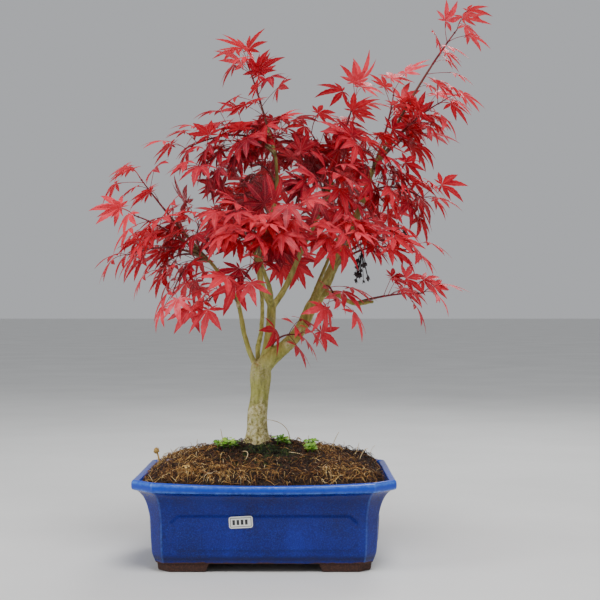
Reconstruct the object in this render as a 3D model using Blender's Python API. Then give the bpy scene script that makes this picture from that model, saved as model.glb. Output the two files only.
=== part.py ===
"""A red-leaved Japanese maple grown as a bonsai in a cobalt-blue glazed pot.

Metres, +Z up. The pot's feet stand at z = 0 and the middle of the whole plant's box is over the origin.
"""

import math
import random

import bmesh
import bpy
from mathutils import Matrix, Vector, noise
from mathutils.bvhtree import BVHTree

UP = Vector((0.0, 0.0, 1.0))
GAP = 0.0003  # between two pieces that touch
SEED = 5  # of everything that grows at random
PLANT_SHIFT = (-0.031, -0.006, 0.0)  # from the pot's middle to the middle of the whole plant's box

# The pot: a rectangle with cut corners, a flared lip and four corner feet.
POT_LENGTH = 0.280  # over the lip
POT_DEPTH = 0.215  # over the lip
POT_HEIGHT = 0.098  # from the table to the top of the lip at the corners
LIP_REACH = 0.0195  # how far the lip stands out beyond the wall
CORNER_CUT = 0.0125  # each leg of a cut corner, at the wall
LIP_SAG = 0.0035  # how far the lip dips in the middle of a long side
WALL = 0.008  # thickness of the wall
FLOOR = 0.010  # thickness of the floor
FOOT_HEIGHT = 0.0094
FOOT_LENGTH = 0.058  # along the pot's long side
FOOT_RETURN = 0.046  # along the pot's short side
FOOT_WIDTH = 0.013
FOOT_SLANT = 0.005  # how much shorter a foot is on the table than under the pot
DRAIN_RADIUS = 0.011
DRAIN_PITCH = 0.112  # between the two drainage holes
PANEL_RISE = 0.0013  # how far a panel stands out of the wall
PANEL_BOTTOM = 0.0235
PANEL_TOP = 0.0610
PANEL_CUT = 0.008  # each leg of a panel's cut corners
PANEL_MARGIN = 0.022  # between a panel's end and the corner of the wall
LONG_STEPS = 6
SHORT_STEPS = 2

# Outside of the wall from the underside to the lip: share of LIP_REACH outwards, share of POT_HEIGHT.
OUTER_PROFILE = (
    (-0.26, 0.094),
    (-0.22, 0.110),
    (-0.12, 0.160),
    (-0.05, 0.214),
    (0.00, 0.347),
    (0.02, 0.480),
    (0.05, 0.580),
    (0.13, 0.668),
    (0.24, 0.745),
    (0.41, 0.816),
    (0.66, 0.872),
    (0.92, 0.893),
    (1.00, 0.915),
    (1.00, 0.968),
    (0.93, 0.993),
    (0.84, 1.000),
)
# Inside of the wall from the lip down: share of POT_HEIGHT, thickness there as a share of WALL.
INNER_PROFILE = (
    (0.985, 0.80),
    (0.955, 1.08),
    (0.900, 1.33),
    (0.800, 1.00),
    (0.670, 1.00),
    (0.400, 1.00),
    (0.240, 1.10),
)

# The label and the drainage screens.
LABEL_SIZE = (0.0250, 0.0125)
LABEL_THICKNESS = 0.0004
LABEL_MIDDLE = (-0.0240, PANEL_TOP - 0.0065)  # along the front from the pot's middle, and above the table
LABEL_TURN = 3.0  # degrees
SCREEN_LAP = 0.007  # how far a screen reaches past its hole
SCREEN_SIDE = 2 * (DRAIN_RADIUS + SCREEN_LAP)
SCREEN_THICKNESS = 0.0012
SCREEN_HOLES = 3
SCREEN_BAR = 0.0024

# The soil.
MOUND_RISE = 0.036  # of the mound's top above the soil's edge at the wall
MOUND_EDGE = 0.945  # share of POT_HEIGHT where the soil meets the wall
MOUND_LUMP = 0.0028  # unevenness
MOUND_RINGS = (0.975, 0.93, 0.85, 0.74, 0.61, 0.47, 0.33, 0.18)

# The tree.
TREE_PLACE = (-0.010, 0.000)  # of the trunk in the soil, across and back from the pot's middle
TREE_HEIGHT = 0.460  # from the foot to the highest shoot
TREE_SPREAD = 0.360  # from the shoot furthest left to the one furthest right
TRUNK_RADIUS = 0.0113
ROOT_DEPTH = 0.045
BRANCHLET_RADIUS = 0.0019  # where it leaves a limb

# Leaves.
LEAF_REACH = 0.030  # from the leaf stalk to the tip of the middle lobe
LEAF_THICKNESS = 0.0011
LEAF_DROOP = 0.22  # how far the tips hang below the middle, as a share of the reach
LOBE_TURNS = (-84.0, -41.0, 0.0, 41.0, 84.0)
LOBE_REACHES = (0.62, 0.90, 1.00, 0.90, 0.62)
SINUS_REACH = 0.30
STALK_LENGTH = 0.022
STALK_RADIUS = 0.00055
SHOOT_RADIUS = 0.0009
LEAST_FOLD = 0.55  # cosine of the sharpest bend between a leaf and its stalk, about
LEAF_CLEARANCE = 0.0024  # thickness kept clear round a leaf when it is placed
TRIES = 14  # for each leaf before its place stays empty

# Small things: places are across and back from the pot's middle.
MOSS_MIDDLE = (TREE_PLACE[0] + 0.008, TREE_PLACE[1] - 0.030)
MOSS_SIZE = (0.026, 0.019)
SEEDLINGS = ((-0.042, -0.018, 5), (0.020, -0.011, 6), (0.044, -0.030, 5))
SEEDLING_HEIGHT = 0.011
SEEDLING_LEAF = 0.0065
STALK_ROOT = (-0.118, -0.010)
PEBBLE_PLACE = (-0.107, -0.014)
PEBBLE_SIZE = (0.0052, 0.0042, 0.0034)
DEAD_LEAF_PLACE = (-0.088, -0.070)
DEAD_LEAF_REACH = 0.011
DRY_FLOWERS = ((0.44, -0.07, 0.52), (0.30, -0.24, 0.45))
FLOWERS_IN_BUNCH = 5

# The trunk up to the fork: across, up, radius as a share of TRUNK_RADIUS.
TRUNK = ((0.0, 0.065, 0.98), (0.008, 0.115, 0.92), (0.010, 0.155, 1.06), (0.012, 0.185, 0.96))

# Limbs: name, sides, radius at each of its points as a share of TRUNK_RADIUS, then its points.
# A point is across and back as a share of TREE_SPREAD, and up as a share of TREE_HEIGHT, from the foot.
LIMBS = (
    (
        "right",
        9,
        (0.86, 0.80, 0.66, 0.62, 0.60, 0.56, 0.50, 0.42, 0.34, 0.27, 0.22),
        (
            (0.01, 0.00, 0.17), (0.04, -0.01, 0.20), (0.10, -0.01, 0.24), (0.14, -0.01, 0.28),
            (0.17, -0.01, 0.33), (0.20, 0.00, 0.36), (0.24, 0.01, 0.43), (0.29, 0.03, 0.51),
            (0.33, 0.03, 0.59), (0.36, 0.03, 0.66), (0.40, 0.00, 0.71),
        ),
    ),
    (
        "middle",
        8,
        (0.74, 0.62, 0.50, 0.44),
        (
            (0.01, 0.00, 0.16), (0.03, 0.00, 0.21), (0.04, 0.01, 0.27), (0.045, 0.01, 0.33),
        ),
    ),
    (
        "middle_left",
        6,
        (0.34, 0.30, 0.27, 0.23, 0.19, 0.16, 0.12),
        (
            (0.045, 0.01, 0.325), (0.01, 0.03, 0.39), (0.01, 0.04, 0.46), (0.04, 0.04, 0.54),
            (0.06, 0.03, 0.62), (0.055, 0.00, 0.70), (0.03, -0.01, 0.76),
        ),
    ),
    (
        "middle_right",
        6,
        (0.34, 0.30, 0.24, 0.19, 0.13),
        (
            (0.045, 0.01, 0.325), (0.09, 0.04, 0.38), (0.14, 0.07, 0.47), (0.19, 0.08, 0.55),
            (0.24, 0.08, 0.64),
        ),
    ),
    (
        "middle_front",
        6,
        (0.30, 0.25, 0.20, 0.14),
        (
            (0.045, 0.01, 0.325), (0.04, -0.06, 0.37), (0.02, -0.12, 0.42), (0.00, -0.17, 0.48),
        ),
    ),
    (
        "left",
        6,
        (0.30, 0.28, 0.25, 0.22, 0.20, 0.17, 0.12),
        (
            (0.01, 0.00, 0.17), (-0.015, 0.00, 0.20), (-0.04, -0.01, 0.26), (-0.06, -0.03, 0.34),
            (-0.10, -0.04, 0.39), (-0.15, -0.04, 0.44), (-0.21, -0.04, 0.47),
        ),
    ),
    (
        "back",
        6,
        (0.30, 0.27, 0.24, 0.21, 0.18, 0.13),
        (
            (0.01, 0.00, 0.165), (0.00, 0.03, 0.22), (0.01, 0.08, 0.27), (0.01, 0.14, 0.35),
            (-0.01, 0.18, 0.44), (-0.03, 0.22, 0.53),
        ),
    ),
    (
        "back_right",
        6,
        (0.34, 0.28, 0.20, 0.14),
        (
            (0.15, -0.01, 0.29), (0.17, 0.08, 0.34), (0.21, 0.17, 0.42), (0.26, 0.21, 0.51),
        ),
    ),
    (
        "right_low",
        6,
        (0.32, 0.26, 0.20, 0.15),
        (
            (0.19, 0.00, 0.355), (0.24, -0.03, 0.36), (0.30, -0.06, 0.335), (0.36, -0.06, 0.34),
        ),
    ),
    (
        "front_right",
        6,
        (0.32, 0.26, 0.20, 0.14),
        (
            (0.17, -0.01, 0.33), (0.20, -0.08, 0.37), (0.24, -0.14, 0.42), (0.28, -0.17, 0.47),
        ),
    ),
)

# Leafy shoots: the limb that each grows from, then where its shoots end, in the same shares as the limbs.
SPRAYS = (
    (
        "left",
        (
            (-0.36, -0.07, 0.64), (-0.39, -0.11, 0.45), (-0.36, -0.17, 0.54), (-0.28, 0.06, 0.51),
            (-0.25, -0.13, 0.36), (-0.14, -0.17, 0.34), (-0.32, 0.10, 0.42), (-0.17, -0.13, 0.52),
            (-0.22, 0.09, 0.40),
        ),
    ),
    (
        "middle_left",
        (
            (-0.03, -0.02, 0.92), (-0.22, -0.04, 0.71), (-0.17, -0.10, 0.66), (-0.06, -0.08, 0.72),
            (-0.08, 0.09, 0.61), (-0.03, 0.15, 0.69), (0.08, 0.06, 0.76),
        ),
    ),
    (
        "middle_front",
        (
            (0.03, -0.28, 0.48), (-0.06, -0.24, 0.53), (0.11, -0.25, 0.54), (-0.03, -0.24, 0.39),
        ),
    ),
    (
        "middle_right",
        (
            (0.17, 0.07, 0.76), (0.28, 0.10, 0.79), (0.14, -0.02, 0.67), (0.24, 0.17, 0.70),
            (0.31, 0.06, 0.85),
        ),
    ),
    (
        "right",
        (
            (0.62, -0.03, 1.00), (0.57, -0.07, 0.82), (0.43, 0.04, 0.86), (0.53, 0.06, 0.77),
            (0.39, -0.09, 0.63), (0.32, -0.10, 0.70), (0.51, -0.06, 0.59), (0.23, -0.17, 0.60),
        ),
    ),
    (
        "back_right",
        (
            (0.40, 0.27, 0.57), (0.25, 0.31, 0.61),
        ),
    ),
    (
        "front_right",
        (
            (0.26, -0.28, 0.48), (0.39, -0.21, 0.48), (0.24, -0.18, 0.34), (0.45, -0.16, 0.46),
        ),
    ),
    (
        "right_low",
        (
            (0.51, -0.07, 0.36),
        ),
    ),
    (
        "back",
        (
            (-0.10, 0.29, 0.56), (0.01, 0.31, 0.64), (0.08, 0.26, 0.46),
        ),
    ),
    (
        "middle",
        (
            (0.13, -0.10, 0.26),
        ),
    ),
)
SHOOT_LENGTH = 0.052  # the red end of a shoot, which carries the leaves
SHOOT_STATIONS = (0.22, 0.60, 1.00)  # where the leaf pairs stand along it
STEM_STEPS = 2


def polyhedron(name, verts, faces):
    """A closed mesh object from points and faces, in triangles that face outwards."""
    mesh = bpy.data.meshes.new(name)
    mesh.from_pydata([tuple(v) for v in verts], [], faces)
    shell = bmesh.new()
    shell.from_mesh(mesh)
    bmesh.ops.recalc_face_normals(shell, faces=shell.faces)
    bmesh.ops.triangulate(shell, faces=shell.faces)
    shell.to_mesh(mesh)
    shell.free()
    thing = bpy.data.objects.new(name, mesh)
    bpy.context.scene.collection.objects.link(thing)
    return thing


def combine(thing, other, operation, solver="EXACT"):
    """Adds other to thing, or cuts it away, then removes other."""
    step = thing.modifiers.new(operation.lower(), "BOOLEAN")
    step.operation = operation
    step.solver = solver
    step.object = other
    graph = bpy.context.evaluated_depsgraph_get()
    done = bpy.data.meshes.new_from_object(thing.evaluated_get(graph))
    thing.modifiers.clear()
    thing.data = done
    done.name = thing.name
    bpy.data.objects.remove(other)


def grow_on(thing, name, shapes):
    """Adds thin crossing shapes one at a time, with the solver that holds where EXACT leaves one loose."""
    for shape in shapes:
        combine(thing, polyhedron(name, *shape), "UNION", solver="MANIFOLD")


def finish(thing, material, smooth=False):
    """Gives a finished piece its material and shading and moves it to its place."""
    thing.data.materials.clear()
    thing.data.materials.append(material)
    for face in thing.data.polygons:
        face.use_smooth = smooth
    thing.location = PLANT_SHIFT
    return thing


def material(name, colour, roughness, coat=0.0):
    """A plain Principled material."""
    made = bpy.data.materials.new(name)
    made.use_nodes = True
    shader = made.node_tree.nodes["Principled BSDF"]
    shader.inputs["Base Color"].default_value = (*colour, 1.0)
    shader.inputs["Roughness"].default_value = roughness
    shader.inputs["Coat Weight"].default_value = coat
    made.diffuse_color = (*colour, 1.0)
    return made


# Pot.


def outline(offset):
    """The pot's plan, this far out from the wall: (point, share of the lip's sag) round it."""
    half_x = POT_LENGTH / 2 - LIP_REACH + offset
    half_y = POT_DEPTH / 2 - LIP_REACH + offset
    cut = CORNER_CUT + offset * (2 - math.sqrt(2))
    long_half = half_x - cut
    short_half = half_y - cut
    plan = []
    for sign in (-1, 1):
        for i in range(LONG_STEPS + 1):
            t = 2 * i / LONG_STEPS - 1
            plan.append((Vector((-sign * t * long_half, sign * half_y, 0)), 1 - t * t))
        for i in range(SHORT_STEPS + 1):
            t = 2 * i / SHORT_STEPS - 1
            plan.append((Vector((-sign * half_x, -sign * t * short_half, 0)), 0.0))
    return plan


def ring(offset, z):
    """One level of the pot. The lip and the inside near it dip in the middle of the long sides."""
    dip = LIP_SAG * max(0.0, (z / POT_HEIGHT - 0.8) / 0.2)
    return [point + UP * (z - dip * sag) for point, sag in outline(offset)]


def loft(rings):
    """Closed shape through rings of equal length."""
    count = len(rings[0])
    verts = [point for level in rings for point in level]
    faces = [tuple(range(count)), tuple(range(len(verts) - count, len(verts)))]
    for i in range(len(rings) - 1):
        for k in range(count):
            a, b = i * count + k, i * count + (k + 1) % count
            faces.append((a, b, b + count, a + count))
    return verts, faces


def wall_reach(z):
    """How far out from the nominal wall the outside is at this height."""
    share = z / POT_HEIGHT
    for (low, low_z), (high, high_z) in zip(OUTER_PROFILE, OUTER_PROFILE[1:]):
        if low_z <= share <= high_z:
            return LIP_REACH * (low + (high - low) * (share - low_z) / (high_z - low_z))
    return LIP_REACH * OUTER_PROFILE[0][0]


def inner_levels():
    """(offset, z) down the inside, ending on the floor."""
    levels = []
    for share, thickness in INNER_PROFILE:
        z = POT_HEIGHT * share
        levels.append((wall_reach(z) - WALL * thickness, z))
    return levels + [(levels[-1][0] - 0.002, FOOT_HEIGHT + FLOOR)]


def corner_foot(side_x, side_y):
    """An L-shaped foot under one corner, with slanted ends."""
    base = LIP_REACH * OUTER_PROFILE[0][0] - 0.0006
    half_x = POT_LENGTH / 2 - LIP_REACH + base
    half_y = POT_DEPTH / 2 - LIP_REACH + base
    cut = CORNER_CUT
    levels = []
    for z, shrink in ((0.0, FOOT_SLANT), (FOOT_HEIGHT + 0.002, 0.0)):
        x, y = half_x - shrink * 0.3, half_y - shrink * 0.3
        end_x, end_y = half_x - FOOT_LENGTH + shrink, half_y - FOOT_RETURN + shrink
        in_x, in_y = x - FOOT_WIDTH + shrink * 0.3, y - FOOT_WIDTH + shrink * 0.3
        outside = ((end_x, y), (x - cut, y), (x, y - cut), (x, end_y))
        plan = outside + ((in_x, end_y), (in_x, in_y), (end_x, in_y))
        levels.append([Vector((side_x * px, side_y * py, z)) for px, py in plan])
    return polyhedron("foot", *loft(levels))


def side_panel(half_length, wall_half, turn):
    """A raised plate with cut corners, lying along the wall's slope."""
    levels = []
    for depth, shrink in ((-0.004, 0.0), (PANEL_RISE * 0.35, 0.0), (PANEL_RISE, 0.0012)):
        x, low, high, cut = half_length - shrink, PANEL_BOTTOM + shrink, PANEL_TOP - shrink, PANEL_CUT
        right = ((x - cut, low), (x, low + cut), (x, high - cut), (x - cut, high))
        plan = right + tuple((-px, pz) for px, pz in reversed(right))
        levels.append([Vector((px, -wall_half - panel_reach(pz) - depth, pz)) for px, pz in plan])
    plate = polyhedron("panel", *loft(levels))
    plate.data.transform(Matrix.Rotation(math.radians(turn), 4, "Z"))
    return plate


def panel_reach(z):
    """The wall's reach behind a panel, taken as one straight slope."""
    share = (z - PANEL_BOTTOM) / (PANEL_TOP - PANEL_BOTTOM)
    return wall_reach(PANEL_BOTTOM) * (1 - share) + wall_reach(PANEL_TOP) * share


def drain_hole(x):
    hole = bmesh.new()
    radius, depth = DRAIN_RADIUS, 4 * (FLOOR + FOOT_HEIGHT)
    bmesh.ops.create_cone(hole, cap_ends=True, segments=16, radius1=radius, radius2=radius, depth=depth)
    mesh = bpy.data.meshes.new("hole")
    hole.to_mesh(mesh)
    hole.free()
    mesh.transform(Matrix.Translation((x, 0.0, FOOT_HEIGHT)))
    cutter = bpy.data.objects.new("hole", mesh)
    bpy.context.scene.collection.objects.link(cutter)
    return cutter


def make_pot(glaze):
    levels = [ring(LIP_REACH * out, POT_HEIGHT * z) for out, z in OUTER_PROFILE]
    levels += [ring(offset, z) for offset, z in inner_levels()]
    pot = polyhedron("pot", *loft(levels))
    for side_x in (-1, 1):
        for side_y in (-1, 1):
            combine(pot, corner_foot(side_x, side_y), "UNION")
    long_half = POT_LENGTH / 2 - LIP_REACH
    short_half = POT_DEPTH / 2 - LIP_REACH
    for turn in (0, 180):
        combine(pot, side_panel(long_half - PANEL_MARGIN, short_half, turn), "UNION")
    for turn in (90, 270):
        combine(pot, side_panel(short_half - PANEL_MARGIN, long_half, turn), "UNION")
    for side in (-1, 1):
        combine(pot, drain_hole(side * DRAIN_PITCH / 2), "DIFFERENCE")
    return finish(pot, glaze)


def make_label(paper):
    """A small rounded sticker on the front panel."""
    half_x, half_z = LABEL_SIZE[0] / 2, LABEL_SIZE[1] / 2
    bend = 0.0022
    plan = []
    for sx, sz, start in ((1, -1, -90), (1, 1, 0), (-1, 1, 90), (-1, -1, 180)):
        for step in (0, 45, 90):
            turn = math.radians(start + step)
            round_x, round_z = bend * math.cos(turn), bend * math.sin(turn)
            plan.append((sx * (half_x - bend) + round_x, sz * (half_z - bend) + round_z))
    twist = math.radians(LABEL_TURN)
    levels = []
    for out in (GAP, GAP + LABEL_THICKNESS):
        level = []
        for px, pz in plan:
            x = LABEL_MIDDLE[0] + px * math.cos(twist) - pz * math.sin(twist)
            z = LABEL_MIDDLE[1] + px * math.sin(twist) + pz * math.cos(twist)
            face = POT_DEPTH / 2 - LIP_REACH + panel_reach(z) + PANEL_RISE
            level.append(Vector((x, -face - out, z)))
        levels.append(level)
    return finish(polyhedron("label", *loft(levels)), paper)


def make_screen(name, x, plastic):
    """A square of plastic netting over a drainage hole."""
    space = (SCREEN_SIDE - SCREEN_BAR * (SCREEN_HOLES + 1)) / SCREEN_HOLES
    marks = [0.0]
    for _ in range(SCREEN_HOLES):
        marks += [marks[-1] + SCREEN_BAR, marks[-1] + SCREEN_BAR + space]
    marks.append(SCREEN_SIDE)
    cells = len(marks) - 1
    low = FOOT_HEIGHT + FLOOR + GAP
    verts = []
    for z in (low, low + SCREEN_THICKNESS):
        verts += [Vector((x + u - SCREEN_SIDE / 2, v - SCREEN_SIDE / 2, z)) for v in marks for u in marks]
    row, layer = cells + 1, (cells + 1) ** 2
    solid = {(i, j) for i in range(cells) for j in range(cells) if not (i % 2 and j % 2)}
    faces = []
    for i, j in sorted(solid):
        a, b, c, d = j * row + i, j * row + i + 1, (j + 1) * row + i + 1, (j + 1) * row + i
        faces += [(d, c, b, a), (a + layer, b + layer, c + layer, d + layer)]
        sides = (((i, j - 1), a, b), ((i + 1, j), b, c), ((i, j + 1), c, d), ((i - 1, j), d, a))
        faces += [(p, q, q + layer, p + layer) for beside, p, q in sides if beside not in solid]
    return finish(polyhedron(name, verts, faces), plastic)


# Soil.


def mound_height(x, y, share):
    """Height of the soil above the table, where share is 0 in the middle and 1 at the wall."""
    edge = POT_HEIGHT * MOUND_EDGE
    shoulder = min(1.0, (1 - share) / 0.16)
    rise = 0.22 * shoulder * (2 - shoulder) + 0.78 * (1 - share ** 1.3)
    lump = noise.noise(Vector((x * 28, y * 28, 3.7))) + 0.5 * noise.noise(Vector((x * 75, y * 75, 8.1)))
    return edge + MOUND_RISE * rise + MOUND_LUMP * lump * shoulder


TREE_FOOT = Vector((*TREE_PLACE, mound_height(*TREE_PLACE, 0.0) + 0.001))  # where the trunk leaves the soil


def soil_outline():
    """The soil's plan where it meets the wall, as offset from the wall."""
    levels = inner_levels()
    edge = POT_HEIGHT * MOUND_EDGE
    for (high, high_z), (low, low_z) in zip(levels, levels[1:]):
        if low_z <= edge <= high_z:
            return low + (high - low) * (edge - low_z) / (high_z - low_z) - GAP
    return levels[0][0] - GAP


def plain_mound(lift=0.0):
    """The soil before anything is cut into it."""
    edge_z = POT_HEIGHT * MOUND_EDGE
    below = [(offset, z) for offset, z in inner_levels() if z < edge_z - 0.001]
    levels = []
    for offset, z in reversed(below):
        height = z + GAP if z == below[-1][1] else z
        levels.append([point + UP * (lift + height) for point, _ in outline(offset - GAP * 1.3)])
    edge = outline(soil_outline() - GAP * 0.3)
    levels.append([point + UP * (lift + edge_z - LIP_SAG * 0.8 * sag) for point, sag in edge])
    for share in MOUND_RINGS:
        plan = [(point.x * share, point.y * share) for point, _ in edge]
        levels.append([Vector((x, y, lift + mound_height(x, y, share))) for x, y in plan])
    verts, faces = loft(levels)
    del faces[1]
    tip = len(verts)
    verts.append(Vector((0, 0, lift + mound_height(0, 0, 0))))
    count = len(edge)
    faces += [(tip - count + k, tip - count + (k + 1) % count, tip) for k in range(count)]
    return polyhedron("mound", verts, faces)


def box(middle, size):
    """A rectangular cutter."""
    block = bmesh.new()
    bmesh.ops.create_cube(block, size=1.0)
    mesh = bpy.data.meshes.new("box")
    block.to_mesh(mesh)
    block.free()
    mesh.transform(Matrix.Translation(middle) @ Matrix.Diagonal((*size, 1.0)))
    thing = bpy.data.objects.new("box", mesh)
    bpy.context.scene.collection.objects.link(thing)
    return thing


def make_soil(earth):
    soil = plain_mound()
    soil.name = "soil_mound"
    for side in (-1, 1):
        room = SCREEN_SIDE + 2 * GAP
        height = 2 * (SCREEN_THICKNESS + 2 * GAP)
        middle = (side * DRAIN_PITCH / 2, 0.0, FOOT_HEIGHT + FLOOR)
        combine(soil, box(middle, (room, room, height)), "DIFFERENCE")
    combine(soil, polyhedron("root_hole", *stump(GAP * 1.3)), "DIFFERENCE")
    return finish(soil, earth)


# Wood.


def tube(points, radii, sides):
    """Closed round limb through the points."""
    verts, faces = [], []
    side = None
    for i, (point, radius) in enumerate(zip(points, radii)):
        ahead = (points[min(i + 1, len(points) - 1)] - points[max(i - 1, 0)]).normalized()
        side = side or ahead.orthogonal()
        side = (side - ahead * side.dot(ahead)).normalized()
        other = ahead.cross(side)
        for k in range(sides):
            turn = 2 * math.pi * k / sides
            verts.append(point + (side * math.cos(turn) + other * math.sin(turn)) * radius)
    for i in range(len(points) - 1):
        for k in range(sides):
            a, b = i * sides + k, i * sides + (k + 1) % sides
            faces.append((a, b, b + sides, a + sides))
    faces.append(tuple(reversed(range(sides))))
    faces.append(tuple(range(len(verts) - sides, len(verts))))
    return verts, faces


def tree_point(across, back, up):
    """A place in the tree from its shares of the spread and height."""
    return TREE_FOOT + Vector((across * TREE_SPREAD, back * TREE_SPREAD, up * TREE_HEIGHT))


def stump(room=0.0):
    """The trunk from its root up to the fork, with this much room round it."""
    root = ((-ROOT_DEPTH - room, 0.90), (-ROOT_DEPTH * 0.45, 1.70), (-0.006, 1.38), (0.010, 1.04))
    points = [TREE_FOOT + UP * z for z, _ in root]
    radii = [TRUNK_RADIUS * share + room for _, share in root]
    for across, up, share in TRUNK:
        points.append(tree_point(across, 0.0, up))
        radii.append(TRUNK_RADIUS * share + room)
    return tube(points, radii, 12)


def limb_paths():
    """Each limb's points by name."""
    paths = {name: [tree_point(*point) for point in points] for name, _, _, points in LIMBS}
    return paths


def nearest_on(path, target):
    """The point and direction on a limb from which a shoot for the target leaves, some way short of it."""
    best = None
    for a, b in zip(path, path[1:]):
        along = b - a
        t = max(0.0, min(1.0, (target - a).dot(along) / along.length_squared))
        distance = (a + along * t - target).length
        if best is None or distance < best[0]:
            best = (distance, a, along, t)
    distance, a, along, t = best
    back = min(t, 0.5 * distance / along.length)
    return a + along * (t - back), along.normalized()


def shoot_curve(start, leave, end):
    """A bent path of a shoot, as a function of 0..1."""
    reach = (end - start).length
    knee = start + leave * reach * 0.30 + (end - start) * 0.22 + UP * reach * 0.10

    def place(t):
        return start * (1 - t) ** 2 + knee * 2 * t * (1 - t) + end * t * t

    return place


def plan_shoots():
    """(name, curve, share of it that is wood) for each leafy shoot."""
    paths = limb_paths()
    shoots = []
    for limb, ends in SPRAYS:
        for number, end in enumerate(ends, 1):
            target = tree_point(*end)
            start, leave = nearest_on(paths[limb], target)
            reach = (target - start).length
            wood = 1 - min(0.62, SHOOT_LENGTH / reach)
            shoots.append((f"spray_{limb}_{number}", shoot_curve(start, leave, target), wood))
    return shoots


def make_wood(bark, shoots):
    """Trunk, limbs and branchlets: one grown piece."""
    wood = polyhedron("trunk_and_branches", *stump())
    paths = limb_paths()
    shapes = []
    for name, sides, shares, _ in LIMBS:
        shapes.append(tube(paths[name], [TRUNK_RADIUS * share for share in shares], sides))
    for _, place, share in shoots:
        steps = 2
        points = [place(share * i / steps) for i in range(steps + 1)]
        radii = [BRANCHLET_RADIUS * (1 - 0.35 * i / steps) for i in range(steps + 1)]
        shapes.append(tube(points, radii, 4))
    grow_on(wood, "limb", shapes)
    return finish(wood, bark, smooth=True)


# Leaves.


def leaf(base, at, along, face, reach, thickness, radius):
    """One palmate leaf on its stalk: five pointed lobes round the stalk's end, as one closed shape."""
    left = face.cross(along)
    rim = []
    for i, (turn, share) in enumerate(zip(LOBE_TURNS, LOBE_REACHES)):
        if i:
            rim.append(((turn + LOBE_TURNS[i - 1]) / 2, SINUS_REACH))
        rim.append((turn, share))
    verts = []
    for turn, share in rim:
        way = along * math.cos(math.radians(turn)) + left * math.sin(math.radians(turn))
        verts.append(at + (way * share - face * LEAF_DROOP * share ** 1.6) * reach)
    last = len(rim) - 1
    top, bottom = last + 1, last + 2
    verts += [at + face * thickness / 2, at - face * thickness / 2]
    for middle in (at - along * reach * 0.07, base):
        verts += [middle + left * radius, middle - left * radius, middle - face * radius * 1.5]
    near_l, near_r, near_d, far_l, far_r, far_d = range(last + 3, last + 9)
    faces = [(i, i + 1, top) for i in range(last)]
    faces += [(i + 1, i, bottom) for i in range(last)]
    faces += [(last, near_l, top), (near_l, near_r, top), (near_r, 0, top)]
    faces += [(last, bottom, near_d), (last, near_d, near_l), (0, near_r, near_d), (0, near_d, bottom)]
    faces += [(near_l, far_l, far_r, near_r), (near_r, far_r, far_d, near_d)]
    faces += [(near_d, far_d, far_l, near_l), (far_l, far_d, far_r)]
    return verts, faces


def level_across(ahead):
    """The level direction square to a shoot."""
    across = ahead.cross(UP)
    return across.normalized() if across.length > 0.05 else Vector((1.0, 0.0, 0.0))


def leaf_shapes(dice, base, ahead, side, outward):
    """A leaf tried at random from this place on a shoot, and the same with room round it."""
    jitter = Vector([dice.uniform(-1, 1) for _ in range(3)])
    leaving = (ahead * 0.7 + side * 0.95 + outward * 0.35 + UP * 0.22 + jitter * 0.45).normalized()
    end = base + leaving * STALK_LENGTH * dice.uniform(0.65, 1.25)
    hang = dice.uniform(0.35, 1.35)
    along = (leaving + outward * 0.5 - UP * hang + jitter * 0.25).normalized()
    along = (along + leaving * max(0.0, LEAST_FOLD - along.dot(leaving))).normalized()
    wobble = Vector([dice.uniform(-1, 1) for _ in range(3)])
    face = outward * 0.9 + UP * 0.8 + wobble * 0.45
    face = (face - along * face.dot(along)).normalized()
    reach = LEAF_REACH * dice.uniform(0.78, 1.08)
    inside = base - leaving * 0.0003 + ahead * jitter.z * 0.0005
    small = leaf(inside, end, along, face, reach, LEAF_THICKNESS, STALK_RADIUS)
    outside = base + leaving * 0.0025
    wide = leaf(outside, end, along, face, reach * 1.02, LEAF_CLEARANCE, STALK_RADIUS + 0.0006)
    return small, wide


def leaf_places(place, share):
    """(base, direction, side) of each leaf on a shoot: opposite pairs and one at the end."""
    stem = [place(share + (1 - share) * i / STEM_STEPS) for i in range(STEM_STEPS + 1)]
    for number, station in enumerate(SHOOT_STATIONS):
        piece = min(int(station * STEM_STEPS), STEM_STEPS - 1)
        ahead = (stem[piece + 1] - stem[piece]).normalized()
        base = stem[piece].lerp(stem[piece + 1], station * STEM_STEPS - piece) - ahead * 0.001
        side = level_across(ahead)
        if number % 2:
            side = Matrix.Rotation(math.radians(62), 3, ahead) @ side
        yield base, ahead, side
        yield base, ahead, -side
    yield base, ahead, Vector((0.0, 0.0, 0.0))


def bounds_of(verts):
    return [min(v[i] for v in verts) for i in range(3)], [max(v[i] for v in verts) for i in range(3)]


def apart(one, two):
    return any(one[0][i] > two[1][i] or two[0][i] > one[1][i] for i in range(3))


def shoot_stem(place, share, room=0.0):
    """The red end of a shoot, from just beyond the wood to its tip."""
    points = [place(share + (1 - share) * i / STEM_STEPS) for i in range(STEM_STEPS + 1)]
    points[0] += (points[1] - points[0]).normalized() * GAP * 3
    radii = [SHOOT_RADIUS * (1.15 - 0.3 * i / STEM_STEPS) + room for i in range(STEM_STEPS + 1)]
    return tube(points, radii, 4)


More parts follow.
